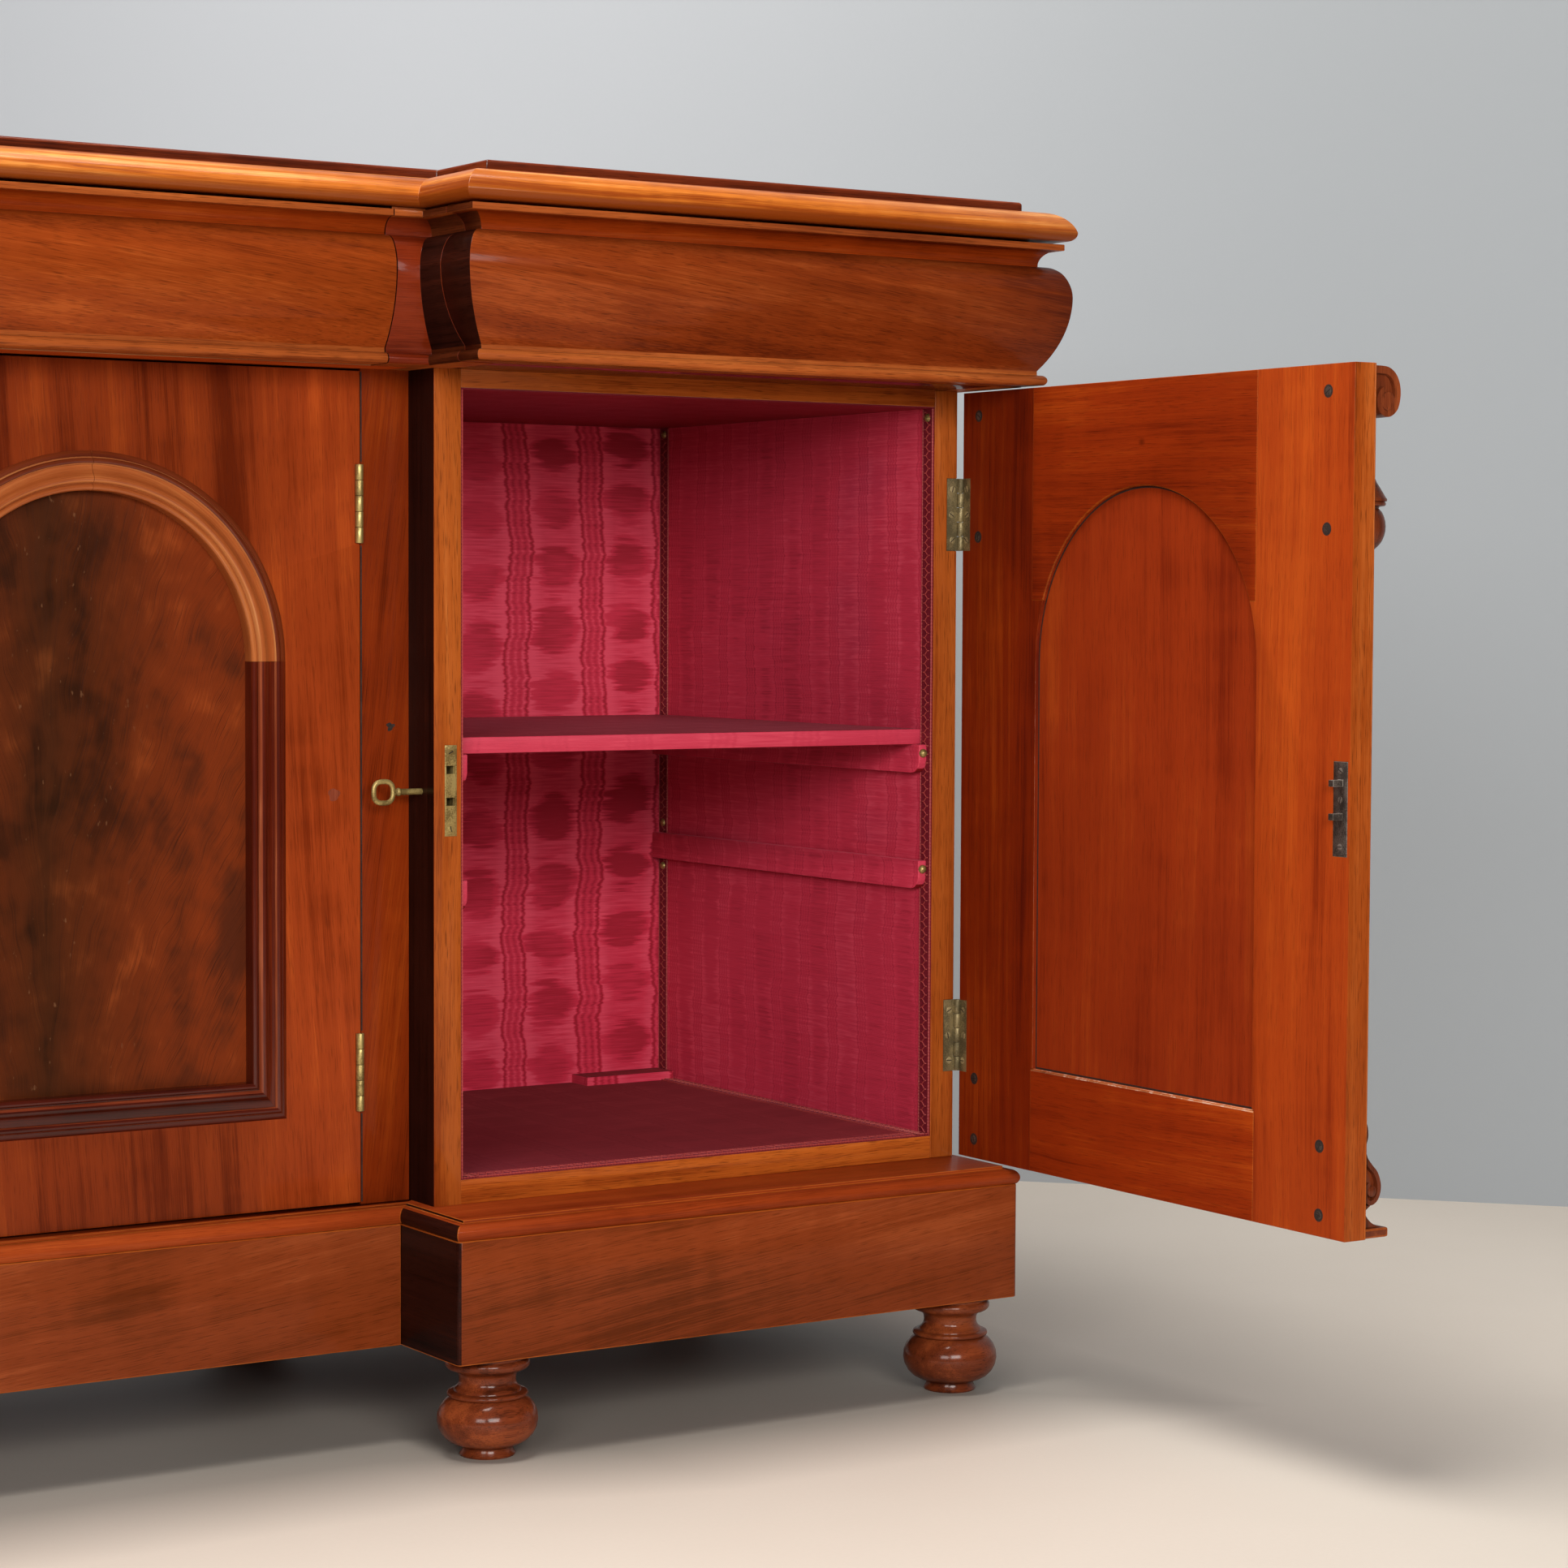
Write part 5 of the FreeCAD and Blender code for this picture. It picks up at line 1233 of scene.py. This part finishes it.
# Silk lining, its braid and nails
# Painted light and shade: the same silk takes a tone of its own for each way a face looks, darkest on the
# ceilings, floors and shelf tops, with dimmer tones on the sides and on shelves and bearers; the side walls
# also have a finer moire of their own.
clothZones = [(4, lambda m, n: (n[:, 1] < -0.9) & (m[:, 1] < 2)), (1, lambda m, n: np.abs(n[:, 0]) > 0.7),
              (2, lambda m, n: n[:, 2] > 0.7), (3, lambda m, n: n[:, 2] < -0.7)]
for name in sides:
    dressed(f"lining_{name}", ("silk", "silkSide", "silkFloorShade", "silkCeilingShade", "tape"), "cloth", 0,
            zones=clothZones, seed=0)
dressed("shelves_wing", ("silkFront", "silkSide", "silkShelfShade", "silkCeilingShade"), "cloth", 1.0, zones=clothZones,
        seed=1)
dressed("bearers", ("silkFront", "silkSide", "silkSide", "silkCeilingShade"), "cloth", 0.8, zones=clothZones,
        seed=2)

braidLook = {"half": 7.0, "tape": 0.7, "cord": 0.75, "beading": 0.25, "bead": 2.8, "loop": 0.6, "pitch": 7.5,
             "swing": 4.0, "lean": 1.4}


# A flat gimp: a tape with a beaded cord along each edge, radius = cord (1 + beading cos(2 pi s / bead)),
# and a cord looped between them, sideways = swing sin a, along = s + lean sin 2a, with a = 2 pi s / pitch.
def braid(start, end, out):
    start, end, out = (np.asarray(p, float) for p in (start, end, out))
    length = np.linalg.norm(end - start)
    along = (end - start) / length
    across = np.cross(along, out)
    half, tape, look = braidLook["half"], braidLook["tape"], braidLook
    corners = [across * a + out * o for a, o in ((-half, 0), (half, 0), (half, tape), (-half, tape))]
    ends = np.stack([[spot + c for c in corners] for spot in (start, end)])
    s = np.arange(0, length, look["bead"] / 4)[:, None]
    radius = look["cord"] * (1 + look["beading"] * np.cos(2 * math.pi * s[:, 0] / look["bead"]))
    chunks = [gridChunk(ends, closeColumns=True, caps=True)]
    chunks += [tube(start + along * s + across * edge + out * (tape * 0.5), radius, across, out, 5,
                    material=1)
               for edge in (-half, half)]
    s = np.arange(2, length - 2, look["pitch"] / 12)[:, None]
    turn = 2 * math.pi * s / look["pitch"]
    path = (start + along * (s + look["lean"] * np.sin(2 * turn)) + across * (look["swing"] * np.sin(turn))
            + out * (tape + 0.2))
    chunks.append(tube(path, look["loop"], across, out, 4, material=1))
    return chunks


lined = {"low": 521.7, "high": 980.8, "front": 0.5, "back": 456.8, "floor": 214.7, "ceiling": 845.8}
nailLook = {"dome": [(0, -0.6), (3.9, -0.6), (3.8, 0.8), (3.0, 2.3), (1.6, 3.2), (0, 3.5)], "sides": 18,
            "back": (839.6, 463.5, 421.5), "front": (838.0,), "bearer": [(976.4, 7.0, z) for z in (446.5,
                                                                                                   547.5)]}


def makeBraids(sideName):
    side = sides[sideName]
    low, high, front, back = (lined[key] for key in ("low", "high", "front", "back"))
    foot, top = lined["floor"], lined["ceiling"]
    width = braidLook["half"] + 0.8
    walls, depths = {"outer": (high, -1), "inner": (low, 1)}, {"back": back - width, "front": front + width}
    runs = {f"{key}_{end}": ((x, y, foot), (x, y, top), (way, 0, 0))
            for key, y in depths.items() for end, (x, way) in walls.items()}
    for end, (x, way) in walls.items():
        x += way * width
        runs["floor_" + end] = ((x, front, foot), (x, back, foot), (0, 0, 1))
    runs["floor_front"] = ((low, depths["front"], foot), (high, depths["front"], foot), (0, 0, 1))
    for key, (start, end, out) in runs.items():
        piece(f"braid_{key}_{sideName}", braid(start, end, out), ("tape", "cord"), "cabinet", "silk", (),
              side)
    nail = lathe(nailLook["dome"], nailLook["sides"])
    nails = [moved(nail, (high, y, z), ((0, 1, 0), (0, 0, 1), (-1, 0, 0)))
             for key, y in depths.items() for z in nailLook[key]]
    nails += [moved(nail, spot, toFront) for spot in nailLook["bearer"]]
    piece(f"nails_{sideName}", nails, ("brass",), "cabinet", "brass", (), side)


makeBraids("right")
makeBraids("left")
print("stage: lining made")


# Painted shade in the joint beside each centre door: a dark strip along the stile's edge, clear of the hinges
stileSeam = {"x": (453.6, 454.8), "y": (43.93, 44.2), "low": 196.0, "high": 859.0, "clear": 2}


# A flat spot with a ragged edge on a front face of the centre. One is a plug in the right door, the other
# a dark knot in the stile beside it. radius = size (1 + ragged (sin(3 a + 0.7) + 0.6 sin 5a)).
def blot(x, z, size, proud, ragged, count=28):
    middle = (x, centreDoor["face"], z)
    angle = np.linspace(0, 2 * math.pi, count, endpoint=False)
    radius = size * (1 + ragged * np.sin(3 * angle + 0.7) + ragged * 0.6 * np.sin(5 * angle))
    x, z = radius * np.cos(angle), radius * np.sin(angle)
    rows = [np.stack([x * k, z * k, np.full(count, h)], 1) for k, h in ((1, -0.3), (1, 0), (0.8, proud))]
    return moved(gridChunk(np.stack(rows), closeColumns=True, caps=True), middle, toFront)


piece("plug", [blot(430, 523.6, 5.0, 0.08, 0.12)], ("plug",), "centre_door_right", "mahogany")
reachOfHinge = hingeLook["length"] / 2 + stileSeam["clear"]
stops = [h + d for h in hingeHeights for d in (-reachOfHinge, reachOfHinge)]
stops = [stileSeam["low"], *stops, stileSeam["high"]]
for name, side in sides.items():
    lines = [block(*stileSeam["x"], *stileSeam["y"], a, b) for a, b in zip(stops[::2], stops[1::2])]
    piece(f"stile_seam_{name}", lines, ("shadowAndKnot",), "cabinet", "mahogany", (), side)
piece("knot", [blot(480, 577, 3.2, 0.06, 0.25)], ("shadowAndKnot",), "cabinet", "mahogany")


# Floor and wall of the studio, in metres. The floor has a painted shadow within "shade" of the cabinet's
# outline, whose front stands forward by "front" beyond the "step" of the wings.
stageLook = {"floor": (0.70, 0.635, 0.565), "floorSpot": (0.67, 0.605, 0.535), "wall": (0.55, 0.585, 0.635),
             "wallShaded": (0.375, 0.405, 0.435), "wallFade": (0.95, 2.0), "wallStart": (1.68, 0.843),
             "wallEnd": (2.106, 0.369), "reach": 9.0, "height": 7.0, "shade": (0.0, 0.16), "shadeDepth": 0.5,
             "half": 1.0, "step": (0.42, 0.62), "front": 0.065, "back": 0.47}


# Plain paint or screed with faint clouds. The wall grows darker to the right, a painted fall-off of the
# light, and seen from behind it lets the view through.
def stageMaterial(name, first, second, rough, wall):
    material, shader = newMaterial(name)
    here = wire("TexCoord", (), "Object")
    x, y = partsOf(here)[:2]
    grit = noise(here, (240, 240, 240))
    amount = noise(here, (1.3, 1.3, 1.3), 4, 0.6) + (grit - 0.5) * 0.25
    if wall:
        amount = level(x, *stageLook["wallFade"], 0.3, 0.7) + (amount - 0.5) * 0.06
    colour = ramp(amount, ((0.3, first), (0.7, second)))
    if not wall:
        # Painted shadow of the cabinet on the floor, darkest under it and fading out within "shade" of its
        # outline.
        front = level(abs(x), *stageLook["step"], 0.0, stageLook["front"])
        off = calc("MAXIMUM", y * -1.0 - front, y - stageLook["back"])
        off = calc("MAXIMUM", off, abs(x) - stageLook["half"])
        colour = dimmed(colour, level(off, *stageLook["shade"], stageLook["shadeDepth"], 1.0))
    surfaced(shader, grit, 0.04, 0.0005, {"Base Color": colour, "Roughness": rough,
                                          "Specular IOR Level": 0.2})
    if wall:
        mixed = wire("MixShader", {0: wire("NewGeometry", (), "Backfacing"), 1: Wire(shader.outputs[0]),
                                   2: wire("BsdfTransparent")})
        join(shading["out"], {"Surface": mixed})
    return material


def stagePlane(name, corners, *paint):
    mesh = bpy.data.meshes.new(name)
    mesh.from_pydata([tuple(corner) for corner in corners], [], [(0, 1, 2, 3)])
    mesh.materials.append(stageMaterial(*paint))
    held(mesh, name)


reach = stageLook["reach"]
stagePlane("floor", ((-reach, -reach, 0), (reach, -reach, 0), (reach, reach, 0), (-reach, reach, 0)),
           "paleScreed", stageLook["floor"], stageLook["floorSpot"], 0.55, False)
start, end = (Vector((*stageLook[key], 0)) for key in ("wallStart", "wallEnd"))
run = (end - start).normalized() * reach
rise = Vector((0, 0, stageLook["height"]))
stagePlane("wall", (start - run, start + run, start + run + rise, start - run + rise),
           "greyWall", stageLook["wall"], stageLook["wallShaded"], 0.8, True)

# Lights: a soft box right overhead, a larger one a little above the camera and a third to the left.
lights = {
    "overhead": {"at": (0.15, -0.15, 3.0), "towards": (0.2, -0.2, 0.0), "size": (1.5, 1.2), "power": 85.0,
                 "colour": (1.0, 0.96, 0.90)},
    "front": {"at": (-0.2, -3.1, 1.4), "towards": (0.75, 0.2, 0.6), "size": (1.4, 0.9), "power": 62.0,
              "colour": (1.0, 0.97, 0.93)},
    "left": {"at": (-2.6, -3.2, 1.8), "towards": (0.9, 0.0, 0.6), "size": (1.6, 1.2), "power": 60.0,
             "colour": (1.0, 0.97, 0.93)},
}
for name, look in lights.items():
    lamp = bpy.data.lights.new(name, "AREA")
    lamp.shape = "RECTANGLE"
    lamp.size, lamp.size_y = look["size"]
    lamp.energy = look["power"]
    lamp.color = look["colour"]
    made = held(lamp, name)
    made.location = look["at"]
    made.rotation_euler = (Vector(look["towards"]) - Vector(look["at"])).to_track_quat("-Z", "Y").to_euler()

worldLook = {"room": (0.62, 0.65, 0.68), "light": (0.08, 0.086, 0.095), "mirrored": (0.05, 0.05, 0.055)}
world = bpy.data.worlds.new("room")
bpy.context.scene.world = world
world.use_nodes = True
shading["tree"] = world.node_tree
world.node_tree.nodes.clear()
rays = addNode("LightPath").outputs
seen = blend(Wire(rays["Is Glossy Ray"]), worldLook["light"], worldLook["mirrored"])
seen = blend(Wire(rays["Is Camera Ray"]), seen, worldLook["room"])
addNode("OutputWorld", {"Surface": wire("Background", {"Color": seen, "Strength": 1.0})})
bpy.context.scene.view_settings.view_transform = "Standard"

print("stage: scene built")
